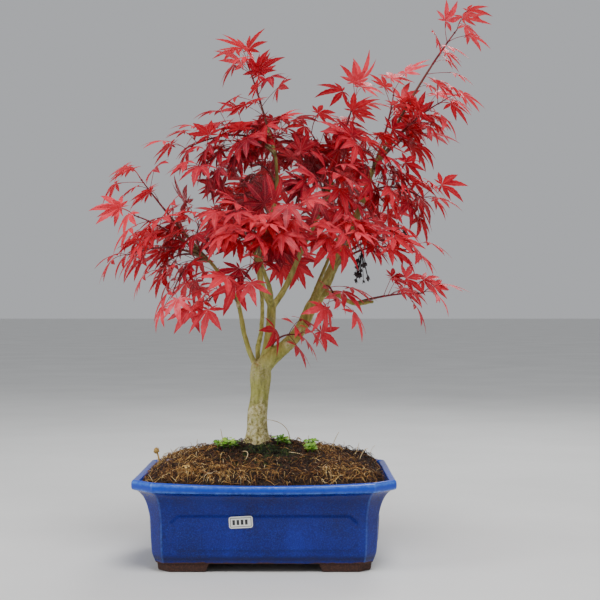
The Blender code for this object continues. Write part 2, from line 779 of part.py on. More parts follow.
def grow_leaves(shoots, wood, flowers):
    """Places every leaf in turn where it meets nothing. Returns the leaves of each shoot."""
    dice = random.Random(SEED)
    grown = {name: [] for name, _, _ in shoots}
    crown_middle = TREE_FOOT + UP * TREE_HEIGHT * 0.40
    graph = bpy.context.evaluated_depsgraph_get()
    fixed = [BVHTree.FromObject(thing, graph) for thing in [wood] + flowers]
    stems = []
    for name, place, share in shoots:
        stem = shoot_stem(place, share, 0.0006)
        stems.append((name, bounds_of(stem[0]), BVHTree.FromPolygons(*stem)))
    leaves = []
    for name, place, share in shoots:
        others = [(extent, tree) for owner, extent, tree in stems if owner != name]
        for base, ahead, side in leaf_places(place, share):
            outward = base - crown_middle
            outward = Vector((outward.x, outward.y, outward.z * 0.3)).normalized()
            for _ in range(TRIES):
                small, wide = leaf_shapes(dice, base, ahead, side, outward)
                limits = bounds_of(wide[0])
                tried = BVHTree.FromPolygons(*wide)
                near = [tree for extent, tree in others + leaves if not apart(limits, extent)]
                if any(tried.overlap(tree) for tree in fixed + near):
                    continue
                leaves.append((limits, tried))
                grown[name].append(small)
                break
    return grown


def make_spray(name, place, share, shapes, red):
    """A red shoot with its leaf stalks and leaves: one piece."""
    spray = polyhedron(name, *shoot_stem(place, share))
    grow_on(spray, "leaf", shapes)
    return finish(spray, red)


# Small things on the soil and in the crown.


def surface_point(tree, x, y):
    """The soil's surface under this place."""
    return tree.ray_cast(Vector((x, y, 0.3)), -UP)[0]


def make_moss(tree, green):
    """A low cushion of moss round the front of the trunk, lying on the soil."""
    plan, levels = [], []
    for k in range(18):
        turn = 2 * math.pi * k / 18
        reach = 1 + 0.16 * math.sin(3 * turn + 0.5) + 0.10 * math.sin(5 * turn + 2.0)
        plan.append((MOSS_SIZE[0] * reach * math.cos(turn), MOSS_SIZE[1] * reach * math.sin(turn)))
    for share, lift in ((1.0, -0.020), (1.0, 0.0016), (0.75, 0.0042), (0.45, 0.0056), (0.15, 0.0060)):
        level = []
        for px, py in plan:
            ground = surface_point(tree, MOSS_MIDDLE[0] + px * share, MOSS_MIDDLE[1] + py * share)
            level.append(ground + UP * lift)
        levels.append(level)
    moss = polyhedron("moss_cushion", *loft(levels))
    combine(moss, plain_mound(GAP), "DIFFERENCE")
    combine(moss, polyhedron("trunk_room", *stump(GAP * 1.5)), "DIFFERENCE")
    return finish(moss, green)


def make_seedling(name, root, leaves, green):
    """A weed seedling: a stem with small oval leaves."""
    dice = random.Random(name)
    tip = root + Vector((dice.uniform(-0.003, 0.003), -0.002, SEEDLING_HEIGHT))
    shapes = []
    for number in range(leaves):
        turn = 2 * math.pi * (number / leaves + 0.1)
        height = 0.45 + 0.55 * number / leaves
        base = root.lerp(tip, height)
        away = Vector((math.cos(turn), math.sin(turn), 0.35)).normalized()
        reach = SEEDLING_LEAF * dice.uniform(0.8, 1.15)
        left = UP.cross(away).normalized()
        face = away.cross(left)
        outline_points = ((-0.05, 0.0), (0.45, 0.32), (1.0, 0.0), (0.45, -0.32))
        rim = [base + away * reach * u + left * reach * v for u, v in outline_points]
        centre = base + away * reach * 0.45
        verts = rim + [centre + face * 0.0006, centre - face * 0.0006]
        faces = [(i, (i + 1) % 4, 4) for i in range(4)] + [((i + 1) % 4, i, 5) for i in range(4)]
        shapes.append((verts, faces))
    stem = [root + UP * 2 * GAP, root.lerp(tip, 0.5), tip]
    seedling = polyhedron(name, *tube(stem, [0.0009, 0.0008, 0.0007], 5))
    grow_on(seedling, "leaflet", shapes)
    return finish(seedling, green)


def ball(middle, size, rings=4, sides=8):
    """A closed rounded body, as a tube with narrow ends."""
    points, radii = [], []
    for i in range(rings + 1):
        turn = math.pi * (0.06 + 0.88 * i / rings)
        points.append(middle - UP * size[2] * math.cos(turn))
        radii.append(max(size[0] * math.sin(turn), size[0] * 0.12))
    verts, faces = tube(points, radii, sides)
    return [Vector((v.x, middle.y + (v.y - middle.y) * size[1] / size[0], v.z)) for v in verts], faces


def make_stalk(tree, straw):
    """A dry stalk with a pale seed head, standing at the left of the soil."""
    root = surface_point(tree, *STALK_ROOT)
    bend, top = Vector((-0.0015, 0.0, 0.007)), Vector((-0.0045, 0.001, 0.016))
    points = [root + UP * 3 * GAP, root + bend, root + top]
    stalk = polyhedron("dry_stalk", *tube(points, [0.0013, 0.0011, 0.0010], 6))
    combine(stalk, polyhedron("head", *ball(points[-1] + UP * 0.002, (0.0030, 0.0026, 0.0034))), "UNION")
    return finish(stalk, straw, smooth=True)


def make_pebble(tree, stone):
    """A rounded pebble on the left of the soil."""
    place = surface_point(tree, *PEBBLE_PLACE)
    pebble = polyhedron("pebble", *ball(place + UP * PEBBLE_SIZE[2] * 0.55, PEBBLE_SIZE))
    combine(pebble, plain_mound(GAP), "DIFFERENCE")
    return finish(pebble, stone, smooth=True)


def make_dead_leaf(tree, straw):
    """A curled yellow dead leaf at the front left of the soil."""
    place = surface_point(tree, *DEAD_LEAF_PLACE) + UP * 0.0045
    along = Vector((0.8, -0.5, -0.1)).normalized()
    face = Vector((0.0, -0.35, 1.0))
    face = (face - along * face.dot(along)).normalized()
    stalk = place - along * 0.004
    dead = polyhedron("dead_leaf", *leaf(stalk, place, along, face, DEAD_LEAF_REACH, 0.0009, 0.0005))
    combine(dead, plain_mound(GAP), "DIFFERENCE")
    return finish(dead, straw)


def make_dry_flowers(name, top, seed, black):
    """A hanging bunch of small dried flowers on thread-like stalks."""
    dice = random.Random(seed)
    shapes = []
    for _ in range(FLOWERS_IN_BUNCH):
        across, back = dice.uniform(-1, 1) * 0.013, dice.uniform(-1, 1) * 0.006
        end = top + Vector((across, back, dice.uniform(-0.030, -0.010)))
        shapes.append(tube([top - UP * 0.002, end], [0.0005, 0.0005], 3))
        size = dice.uniform(0.0014, 0.0021)
        shapes.append(ball(end - UP * size * 0.6, (size, size, size * 1.2), 2, 4))
    holder = [top + UP * 0.006, top + UP * 0.002, top - UP * 0.004]
    bunch = polyhedron(name, *tube(holder, [0.0007, 0.0008, 0.0008], 5))
    grow_on(bunch, "flower", shapes)
    return finish(bunch, black)


def build():
    for thing in list(bpy.data.objects):
        bpy.data.objects.remove(thing)
    make_pot(material("cobalt_glaze", (0.016, 0.044, 0.21), 0.12, 1.0))
    make_label(material("white_paper", (0.80, 0.80, 0.78), 0.55))
    netting = material("black_netting", (0.02, 0.02, 0.022), 0.5)
    make_screen("drain_screen_left", -DRAIN_PITCH / 2, netting)
    make_screen("drain_screen_right", DRAIN_PITCH / 2, netting)
    make_soil(material("soil_and_fibre", (0.13, 0.075, 0.035), 0.95))
    mound = plain_mound()
    tree = BVHTree.FromObject(mound, bpy.context.evaluated_depsgraph_get())
    bpy.data.objects.remove(mound)
    make_moss(tree, material("dark_moss", (0.05, 0.10, 0.02), 0.95))
    weed = material("seedling_green", (0.16, 0.42, 0.04), 0.5)
    for number, (x, y, leaves) in enumerate(SEEDLINGS, 1):
        make_seedling(f"seedling_{number}", surface_point(tree, x, y), leaves, weed)
    straw = material("dry_straw", (0.55, 0.40, 0.17), 0.8)
    make_stalk(tree, straw)
    make_dead_leaf(tree, straw)
    make_pebble(tree, material("purple_stone", (0.20, 0.16, 0.18), 0.6))
    black = material("dried_flower", (0.03, 0.018, 0.015), 0.8)
    flowers = []
    for number, (across, back, up) in enumerate(DRY_FLOWERS, 1):
        top = tree_point(across, back, up)
        flowers.append(make_dry_flowers(f"dry_flowers_{number}", top, number, black))
    shoots = plan_shoots()
    wood = make_wood(material("maple_bark", (0.40, 0.36, 0.18), 0.9), shoots)
    grown = grow_leaves(shoots, wood, flowers)
    red = material("red_leaf", (0.60, 0.02, 0.03), 0.45)
    for name, place, share in shoots:
        make_spray(name, place, share, grown[name], red)


build()
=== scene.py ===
# %% [markdown]
# # A red-leaved maple bonsai in a cobalt-blue pot
# The tree, its soil and its pot were first built as plain closed solids, in metres, with the pot's feet at z = 0.
# Here each plain solid is replaced by a detailed piece: a glazed pot, bark, hundreds of five-fingered leaves and a
# mat of fibres. The solids stay in the scene as the frame, so that every detailed piece starts from a known place.

# %% Load the frame
import math
import random

import bmesh
import bpy
import numpy as np
from mathutils import Matrix, Vector, noise
from mathutils.bvhtree import BVHTree


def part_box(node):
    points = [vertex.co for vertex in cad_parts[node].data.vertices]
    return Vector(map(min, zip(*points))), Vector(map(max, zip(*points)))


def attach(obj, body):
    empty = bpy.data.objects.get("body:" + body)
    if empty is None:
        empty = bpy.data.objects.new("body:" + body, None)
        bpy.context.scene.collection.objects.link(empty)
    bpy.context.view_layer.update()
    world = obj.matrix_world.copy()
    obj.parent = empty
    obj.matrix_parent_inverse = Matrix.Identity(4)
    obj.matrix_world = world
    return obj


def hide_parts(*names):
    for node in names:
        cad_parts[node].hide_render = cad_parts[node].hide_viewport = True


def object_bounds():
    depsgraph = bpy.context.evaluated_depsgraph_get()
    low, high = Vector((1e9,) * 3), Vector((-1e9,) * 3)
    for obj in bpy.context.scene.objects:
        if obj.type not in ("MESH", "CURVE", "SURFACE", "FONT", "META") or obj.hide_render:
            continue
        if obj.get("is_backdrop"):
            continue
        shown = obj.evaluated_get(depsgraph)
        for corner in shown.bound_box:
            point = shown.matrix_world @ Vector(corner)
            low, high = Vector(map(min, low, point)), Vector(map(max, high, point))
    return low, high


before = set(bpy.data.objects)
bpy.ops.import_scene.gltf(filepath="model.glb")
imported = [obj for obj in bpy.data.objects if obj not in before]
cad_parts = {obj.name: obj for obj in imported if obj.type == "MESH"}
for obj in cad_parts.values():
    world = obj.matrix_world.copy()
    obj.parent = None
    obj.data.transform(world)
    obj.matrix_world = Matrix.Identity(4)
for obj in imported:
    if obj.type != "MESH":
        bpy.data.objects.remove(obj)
frame_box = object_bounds()
UP = Vector((0.0, 0.0, 1.0))
pot_low, pot_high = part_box("pot")
POT_MIDDLE = Vector(((pot_low.x + pot_high.x) / 2, (pot_low.y + pot_high.y) / 2, 0.0))
print("plain solids:", len(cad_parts), " pot middle:", [round(c, 4) for c in POT_MIDDLE])

# %% [markdown]
# ## Building blocks
# Nearly everything here is made point by point. A `Heap` gathers many small shapes, such as all the leaves of a
# shoot, into one mesh, and lets each point carry marks like "how dark is this leaf". The material reads the marks by
# name, so one material can colour a thousand leaves differently. The other way, one object and one material for each
# leaf, would be slow and hard to repaint.

# %% Heaps of small shapes


class Heap:
    """Points, faces and marks gathered for one mesh."""

    def __init__(self):
        self.points, self.faces, self.which, self.marks = [], [], [], {}

    def put(self, points, faces, which=0, **marks):
        start = len(self.points)
        self.points += [tuple(p) for p in points]
        self.faces += [tuple(start + i for i in face) for face in faces]
        self.which += [which] * len(faces)
        for mark, values in marks.items():
            if isinstance(values, (int, float)):
                values = [values] * len(points)
            self.marks.setdefault(mark, []).extend(values)

    def piece(self, name, finishes, slot, stands_for=(), smooth=True):
        """The heap as an object that rides with the plant and stands for these plain solids."""
        mesh = bpy.data.meshes.new(name)
        mesh.from_pydata(self.points, [], self.faces)
        for mark, values in self.marks.items():
            layer = mesh.attributes.new(mark, "FLOAT", "POINT")
            layer.data.foreach_set("value", np.array(values, np.float32))
        mesh.polygons.foreach_set("material_index", self.which)
        mesh.polygons.foreach_set("use_smooth", [smooth] * len(self.faces))
        for finish in finishes:
            mesh.materials.append(finish)
        thing = bpy.data.objects.new(name, mesh)
        bpy.context.scene.collection.objects.link(thing)
        return placed(thing, stands_for)


def placed(thing, stands_for=()):
    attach(thing, "root")
    if stands_for:
        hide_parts(*stands_for)
    return thing


def box_of(name):
    """Lowest corner, highest corner and middle of a plain solid."""
    low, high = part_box(name)
    return low, high, (low + high) / 2


def as_shown(thing):
    """The mesh of an object with its modifiers applied."""
    bpy.context.view_layer.update()
    return bpy.data.meshes.new_from_object(thing.evaluated_get(bpy.context.evaluated_depsgraph_get()))


# %% [markdown]
# A stalk, a twig and a fibre are all the same thing: a tube that follows a line of points and gets thinner. `tube`
# turns a ring of points along the line, keeping each ring square to it, and closes the ends. `woven` makes the faces
# between rows of points, `bend` gives points on a curve with one bend, and `flow` runs smoothly through given points.

# %% Tubes and curves


def woven(rows, across, closed=True):
    """Four-sided faces between rows of points. A closed row joins up with its own start."""
    faces = []
    for i in range(rows - 1):
        for k in range(across if closed else across - 1):
            a, b = i * across + k, i * across + (k + 1) % across
            faces.append((a, b, b + across, a + across))
    return faces


def tube(points, radii, sides):
    verts = []
    side = None
    for i, (point, radius) in enumerate(zip(points, radii)):
        ahead = (points[min(i + 1, len(points) - 1)] - points[max(i - 1, 0)]).normalized()
        side = side or ahead.orthogonal()
        side = (side - ahead * side.dot(ahead)).normalized()
        other = ahead.cross(side)
        for k in range(sides):
            turn = 2 * math.pi * k / sides
            verts.append(point + (side * math.cos(turn) + other * math.sin(turn)) * radius)
    ends = [tuple(reversed(range(sides))), tuple(range(len(verts) - sides, len(verts)))]
    return verts, woven(len(points), sides) + ends


def on_curve(start, knee, end, t):
    return start * (1 - t) ** 2 + knee * 2 * t * (1 - t) + end * t * t


def bend(start, knee, end, steps):
    return [on_curve(start, knee, end, i / steps) for i in range(steps + 1)]


def flow(values, steps):
    """A smooth run through the values, with this many steps between each two."""
    padded = [values[0] * 2 - values[1]] + list(values) + [values[-1] * 2 - values[-2]]
    run = []
    for a, b, c, d in zip(padded, padded[1:], padded[2:], padded[3:]):
        for t in (i / steps for i in range(steps)):
            run.append((
                b * 2 + (c - a) * t + (a * 2 - b * 5 + c * 4 - d) * t * t + (b * 3 - a - c * 3 + d) * t**3
            ) * 0.5)
    return run + [values[-1]]


# %% [markdown]
# ## Helpers for materials
# A finish is a small tree of nodes. These helpers keep each finish readable: `add` makes a node and plugs its
# inputs, `ramp` turns a grey value into colours, `blend` mixes two colours and `coat` is a Principled surface with a
# bump. Colours are written as the eye sees them, 0 to 255, and `paint` turns them into Blender's linear values.
# Many finishes are alike, noise for the colour and finer noise for the bump, so `simple_finish` makes those at once.

# %% Shader helpers


def paint(red, green, blue):
    def linear(value):
        share = value / 255
        return share / 12.92 if share <= 0.04045 else ((share + 0.055) / 1.055) ** 2.4
    return (linear(red), linear(green), linear(blue), 1.0)


def add(tree, kind, settings=None, **inputs):
    node = tree.nodes.new("ShaderNode" + kind)
    for key, value in (settings or {}).items():
        setattr(node, key, value)
    for key, value in inputs.items():
        socket = node.inputs[int(key[1:])] if key[1:].isdigit() else node.inputs[key.replace("_", " ")]
        if isinstance(value, bpy.types.NodeSocket):
            tree.links.new(value, socket)
        else:
            socket.default_value = value
    return node


def new_finish(name):
    finish = bpy.data.materials.new(name)
    finish.use_nodes = True
    finish.node_tree.nodes.clear()
    return finish, finish.node_tree


def place_of(tree, stretch=(1, 1, 1)):
    """Where a point is on the plant, in metres, stretched so that a pattern can run along one way."""
    spot = add(tree, "TexCoord").outputs["Object"]
    return add(tree, "Mapping", Vector=spot, Scale=stretch).outputs["Vector"]


def cloud(tree, where, scale, detail=4.0, rough=0.55):
    return add(tree, "TexNoise", Vector=where, Scale=scale, Detail=detail, Roughness=rough).outputs["Fac"]


def ramp(tree, fac, *stops):
    node = add(tree, "ValToRGB", Fac=fac)
    colours = node.color_ramp.elements
    while len(colours) < len(stops):
        colours.new(0.5)
    for element, (place, colour) in zip(colours, stops):
        element.position = place
        element.color = paint(*colour)
    return node.outputs["Color"]


def blend(tree, fac, one, other):
    return add(tree, "Mix", {"data_type": "RGBA"}, i0=fac, i6=one, i7=other).outputs[2]


def sums(tree, operation, one, other=0.0):
    return add(tree, "Math", {"operation": operation}, i0=one, i1=other).outputs[0]


def plus(tree, one, other):
    return sums(tree, "ADD", one, other)


def times(tree, one, other):
    return sums(tree, "MULTIPLY", one, other)


def spread(tree, value, low, high, to_low=0.0, to_high=1.0):
    settings = {"interpolation_type": "SMOOTHSTEP"}
    node = add(tree, "MapRange", settings, Value=value, i1=low, i2=high, i3=to_low, i4=to_high)
    return node.outputs[0]


def mark(tree, name):
    return add(tree, "Attribute", {"attribute_name": name}).outputs["Fac"]


def coat(tree, colour, rough, height, strength, depth, **more):
    bump = add(tree, "Bump", Height=height, Strength=strength, Distance=depth).outputs["Normal"]
    return add(tree, "BsdfPrincipled", Base_Color=colour, Roughness=rough, Normal=bump, **more).outputs[0]


def surface(tree, shader):
    add(tree, "OutputMaterial", Surface=shader)


def lit_through(tree, share, shader, colour):
    """A thin surface that lets this share of the light through."""
    glow = add(tree, "BsdfTranslucent", Color=colour).outputs[0]
    surface(tree, add(tree, "MixShader", i0=share, i1=shader, i2=glow).outputs[0])


def simple_finish(name, patches, stops, rough, grain, bump, from_mark=None):
    """Colour from noise, or from a mark with some noise on it, and a bump from finer noise."""
    finish, tree = new_finish(name)
    where = place_of(tree)
    tone = cloud(tree, where, *patches)
    if from_mark:
        mark_name, low, sway = from_mark
        tone = plus(tree, mark(tree, mark_name), spread(tree, tone, low, 1 - low, -sway, sway))
    surface(tree, coat(tree, ramp(tree, tone, *stops), rough, cloud(tree, where, *grain), *bump))
    return finish


# %% [markdown]
# ## The pot's shape
# The real pot is slip-cast stoneware: a rectangle with cut corners whose wall leans out gently and then flares into a
# thick lip. It could be a cube with bevels, but the flare, the sagging lip and the soft raised panels are easier as
# one surface: a plan (the cut-corner rectangle, with its edges softened) is repeated at every height of a profile.

# %% Sizes of the pot
LIP_REACH = 0.0195
CORNER_CUT = 0.0125
LIP_SAG = 0.0035
EDGE_ROUND = 0.0016
FOOT_HEIGHT, FLOOR, DRAIN_RADIUS, DRAIN_PITCH = 0.0094, 0.010, 0.011, 0.112
PANEL_RISE, PANEL_BOTTOM, PANEL_TOP = 0.0013, 0.0235, 0.0610
PANEL_CUT, PANEL_MARGIN, PANEL_SLOPE = 0.008, 0.022, 0.0016
POT_LENGTH, POT_DEPTH, POT_HEIGHT = (pot_high.x - pot_low.x), (pot_high.y - pot_low.y), pot_high.z
WALL_X, WALL_Y = POT_LENGTH / 2 - LIP_REACH, POT_DEPTH / 2 - LIP_REACH
OUTER = (  # outside of the wall: share of LIP_REACH outwards, share of POT_HEIGHT
    (-0.26, 0.094), (-0.22, 0.110), (-0.12, 0.160), (-0.05, 0.214), (0.00, 0.347), (0.02, 0.480),
    (0.05, 0.580), (0.13, 0.668), (0.24, 0.745), (0.41, 0.816), (0.66, 0.872), (0.92, 0.893), (1.00, 0.915),
    (1.00, 0.968), (0.93, 0.993), (0.84, 1.000),
)
WALL = 0.008
INNER = (  # inside of the wall: share of POT_HEIGHT, thickness as a share of WALL
    (0.985, 0.80), (0.955, 1.08), (0.900, 1.33), (0.800, 1.00), (0.670, 1.00), (0.400, 1.00), (0.240, 1.10),
)
LONG_STEPS, SHORT_STEPS, CUT_STEPS = 120, 84, 6
print("pot:", round(POT_LENGTH, 4), "x", round(POT_DEPTH, 4), "x", round(POT_HEIGHT, 4))

# %% [markdown]
# `pot_plan` walks once round the pot at one height. Each straight side gets many short steps, so that the panels can
# rise from it, and each corner gets a small curve instead of a knife edge, because glaze never leaves a sharp edge.

# %% Plan and profile


def pot_plan(offset):
    """Points round the pot; for each the way outward, how much the lip sags and how near an edge it is."""
    x, y = WALL_X + offset, WALL_Y + offset
    cut = CORNER_CUT + offset * (2 - math.sqrt(2))
    corners = [(cut - x, -y), (x - cut, -y), (x, cut - y), (x, y - cut)]
    corners += [(x - cut, y), (cut - x, y), (-x, y - cut), (-x, cut - y)]
    corners = [Vector((*corner, 0)) for corner in corners]
    points, outward, sag, edge = [], [], [], []
    for k in range(8):
        start, end = corners[k], corners[(k + 1) % 8]
        along = (end - start).normalized()
        after = (corners[(k + 2) % 8] - end).normalized()
        steps = CUT_STEPS if k % 2 else (LONG_STEPS if k % 4 == 0 else SHORT_STEPS)
        first, last = start + along * EDGE_ROUND, end - along * EDGE_ROUND
        for i in range(steps + 1):
            point = first.lerp(last, i / steps)
            points.append(point)
            outward.append(Vector((along.y, -along.x, 0)))
            sag.append(max(0.0, 1 - (point.x / (x - cut)) ** 2) if k % 4 == 0 else 0.0)
            edge.append(0.0)
        for t in (0.25, 0.5, 0.75):
            points.append(bend(last, end, end + after * EDGE_ROUND, 4)[int(t * 4)])
            way = along.lerp(after, t).normalized()
            outward.append(Vector((way.y, -way.x, 0)))
            sag.append(0.0)
            edge.append(1 - abs(t - 0.5) * 1.2)
    return points, outward, sag, edge


def wall_reach(z):
    share = z / POT_HEIGHT
    for (low, low_z), (high, high_z) in zip(OUTER, OUTER[1:]):
        if low_z <= share <= high_z:
            return LIP_REACH * (low + (high - low) * (share - low_z) / (high_z - low_z))
    return LIP_REACH * OUTER[0][0]


def panel_reach(z):
    share = (z - PANEL_BOTTOM) / (PANEL_TOP - PANEL_BOTTOM)
    return wall_reach(PANEL_BOTTOM) * (1 - share) + wall_reach(PANEL_TOP) * share


def panel_height(u, z, half):
    """0 beside a panel and 1 on it, rising softly over the slope of its edge."""
    w = abs(z - (PANEL_BOTTOM + PANEL_TOP) / 2)
    tall = (PANEL_TOP - PANEL_BOTTOM) / 2
    inside = min(half - abs(u), tall - w, (half - abs(u) + tall - w - PANEL_CUT) / math.sqrt(2))
    t = max(0.0, min(1.0, (inside + PANEL_SLOPE * 0.35) / PANEL_SLOPE))
    return t * t * (3 - 2 * t)


# %% [markdown]
# Two marks are kept for the glaze. `edge` is high where the wall turns a corner: there the melted glaze runs thin
# and pale. The other mark is high where the glaze gathers thick and dark, just above the feet and at the panels'
# steps, and it also carries painted shade: under the flare, which faces down, and under each panel's lower step.

# %% The wall, from the underside round the lip to the inside
profile = [Vector((LIP_REACH * out, POT_HEIGHT * z)) for out, z in OUTER]
outside = flow(profile, 7)
levels = [(point.x, point.y, True) for point in outside]
levels.insert(0, (levels[0][0] - 0.004, levels[0][1], True))
inside_profile = [profile[-1]]
for share, thickness in INNER:
    z = POT_HEIGHT * share
    inside_profile.append(Vector((wall_reach(z) - WALL * thickness, z)))
levels += [(point.x, point.y, False) for point in flow(inside_profile, 4)[1:]]

wall = Heap()
wall_points, wall_edge, wall_pool = [], [], []
LIP_EDGES = (0.9, 0.975)
PANEL_MIDDLE = (PANEL_BOTTOM + PANEL_TOP) / 2
UNDER_FLARE_SHADE, ABOVE_FEET = 0.80, 0.0145  # painted shade under the flare, as a share of the height, and glaze gathered above the feet, as a height


def bell(distance, width):
    return math.exp(-((distance / width) ** 2))


for offset, z, is_outside in levels:
    points, outward, sag, edge = pot_plan(offset)
    level = z / POT_HEIGHT
    dip = LIP_SAG * max(0.0, (level - 0.8) / 0.2)
    lip = max(bell(level - at, 0.016) for at in LIP_EDGES) if offset > LIP_REACH * 0.8 else 0.0
    # painted shade under the downward-facing flare, plus glaze gathered thick just above the feet
    pooled_and_shaded = bell(level - UNDER_FLARE_SHADE, 0.07) * 0.30 + bell(z - ABOVE_FEET, 0.003) * 0.8
    by_panel = is_outside and PANEL_BOTTOM - 0.002 < z < PANEL_TOP + 0.002
    # below the panels' middle the step is darker: glaze gathered thick there, and painted shade under the step
    under = 1.3 if z < PANEL_MIDDLE else 0.2
    for point, out, dips, turn in zip(points, outward, sag, edge):
        rise, step = 0.0, 0.0
        if by_panel and max(abs(out.x), abs(out.y)) > 0.999:
            front = abs(out.y) > 0.5
            half = (WALL_X if front else WALL_Y) - PANEL_MARGIN
            rise = panel_height(point.x if front else point.y, z, half)
            step = 4 * rise * (1 - rise)
        reach = rise * (panel_reach(z) + PANEL_RISE - offset)
        wobble = 0.0003 * noise.noise((point + UP * z) * 34)
        wall_points.append(POT_MIDDLE + point + out * (reach + wobble) + UP * (z - dip * dips))
        wall_edge.append(min(1.0, lip * 0.75 + turn * 0.32))
        wall_pool.append(min(1.0, pooled_and_shaded + under * step * (1.0 if rise < 0.75 else 0.4)))
wall.put(wall_points, woven(len(levels), len(points)), 0, edge=wall_edge, pool=wall_pool)
print("wall:", len(levels), "levels of", len(points), "points")

# %% [markdown]
# ## The glaze
# Cobalt glaze is glass coloured by the metal. It is deep and nearly even, with a fine lighter speckle, pale broken
# edges and darker pools. Shade is painted in under the flare and the panels' lower steps, and the lip is painted a
# brighter blue as a painted highlight where it faces the light. The foot is wiped clean before firing, so bare brown
# clay shows under a slightly wavy line.
# One Principled shader does both: the height above the table picks clay or glaze for colour and roughness.

# %% Cobalt glaze and bare clay
cobalt, tree = new_finish("cobalt_glaze")
where = place_of(tree)
high = add(tree, "SeparateXYZ", Vector=where).outputs["Z"]
runs = cloud(tree, place_of(tree, (1, 1, 0.5)), 34, 4)
deep = ramp(tree, runs, (0.30, (4, 14, 88)), (0.55, (5, 20, 112)), (0.78, (8, 32, 138)))
fine = spread(tree, cloud(tree, where, 620, 4, 0.7), 0.42, 0.66)
speckle = spread(tree, cloud(tree, where, 1000, 2), 0.64, 0.72)
pits = spread(tree, cloud(tree, where, 520, 3), 0.30, 0.24)
for patch, strength, tint in (
    (fine, 0.34, (22, 54, 186)),
    (speckle, 0.30, (70, 118, 226)),
    (pits, 0.6, (6, 12, 54)),
    # glaze gathered thick above the feet, and painted shade under the flare and under the panels' lower steps
    (mark(tree, "pool"), 0.85, (3, 7, 42)),
):
    deep = blend(tree, times(tree, patch, strength), deep, paint(*tint))
# painted highlight: the flare and lip, which face the lamps, are painted a brighter blue
lip_painted_highlight = spread(tree, high, POT_HEIGHT * 0.86, POT_HEIGHT * 0.93, 0.0, 0.62)
deep = blend(tree, lip_painted_highlight, deep, paint(14, 74, 210))
broken = times(tree, mark(tree, "edge"), spread(tree, cloud(tree, where, 210, 3), 0.34, 0.66, 0.30, 0.80))
glassy = blend(tree, broken, deep, paint(96, 146, 232))
line = plus(tree, high, times(tree, cloud(tree, where, 45, 2), 0.007))
bare = spread(tree, line, 0.0142, 0.0134)
clay = ramp(tree, cloud(tree, where, 700, 4), (0.3, (44, 24, 18)), (0.7, (92, 56, 42)))
shine = spread(tree, bare, 0.0, 1.0, 0.13, 0.82)
waves = plus(tree, cloud(tree, where, 120, 2), times(tree, cloud(tree, where, 1400, 2), 0.12))
gloss = {"IOR": 1.46, "Specular_IOR_Level": 0.36}
surface(tree, coat(tree, blend(tree, bare, glassy, clay), shine, waves, 0.35, 0.0009, **gloss))

brown_clay = simple_finish(
    "bare_clay", (600, 5), ((0.28, (40, 22, 16)), (0.55, (66, 38, 28)), (0.8, (104, 66, 50))),
    0.85, (1600, 4), (0.5, 0.0005),
)

wall.piece("pot_wall", [cobalt], "cobalt_glaze", ("pot",))

# %% [markdown]
# ## Floor and feet
# Under the pot is a flat floor with two drainage holes, and an L-shaped foot at each corner. They are plain blocks of
# clay, so a short outline raised into a solid and a Bevel modifier give the right soft-edged look at once.

# %% Solids from outlines


def block(name, rings, finish, slot, bevel, stands_for=()):
    """A closed solid through rings of points, with its edges rounded by a Bevel modifier."""
    heap = Heap()
    count = len(rings[0])
    faces = [tuple(reversed(range(count))), tuple(range(count * (len(rings) - 1), count * len(rings)))]
    heap.put([p for ring in rings for p in ring], faces + woven(len(rings), count))
    thing = heap.piece(name, [finish], slot, stands_for, smooth=False)
    fix = bmesh.new()
    fix.from_mesh(thing.data)
    bmesh.ops.recalc_face_normals(fix, faces=fix.faces)
    fix.to_mesh(thing.data)
    fix.free()
    rounding = thing.modifiers.new("soft edges", "BEVEL")
    rounding.width = bevel
    rounding.segments = 3
    rounding.limit_method = "ANGLE"
    return thing


FOOT_LENGTH, FOOT_RETURN, FOOT_WIDTH, FOOT_SLANT = 0.058, 0.046, 0.013, 0.005
FEET = {"front_left": (-1, -1), "front_right": (1, -1), "back_left": (-1, 1), "back_right": (1, 1)}
base_reach = LIP_REACH * OUTER[0][0] - 0.0006
half_x, half_y = WALL_X + base_reach, WALL_Y + base_reach
for foot_name, (side_x, side_y) in FEET.items():
    rings = []
    for z, shrink in ((0.0, FOOT_SLANT), (FOOT_HEIGHT + 0.002, 0.0)):
        x, y = half_x - shrink * 0.3, half_y - shrink * 0.3
        end_x, end_y = half_x - FOOT_LENGTH + shrink, half_y - FOOT_RETURN + shrink
        in_x, in_y = x - FOOT_WIDTH + shrink * 0.3, y - FOOT_WIDTH + shrink * 0.3
        plan = [(end_x, y), (x - CORNER_CUT, y), (x, y - CORNER_CUT), (x, end_y)]
        plan += [(in_x, end_y), (in_x, in_y), (end_x, in_y)]
        rings.append([POT_MIDDLE + Vector((side_x * px, side_y * py, z)) for px, py in plan])
    block("foot_" + foot_name, rings, brown_clay, "cobalt_glaze", 0.0013)
print("feet stand", FOOT_HEIGHT, "high")

# %% [markdown]
# The drainage holes are cut with a Boolean modifier, which is then applied, so that the cutter can be thrown away.

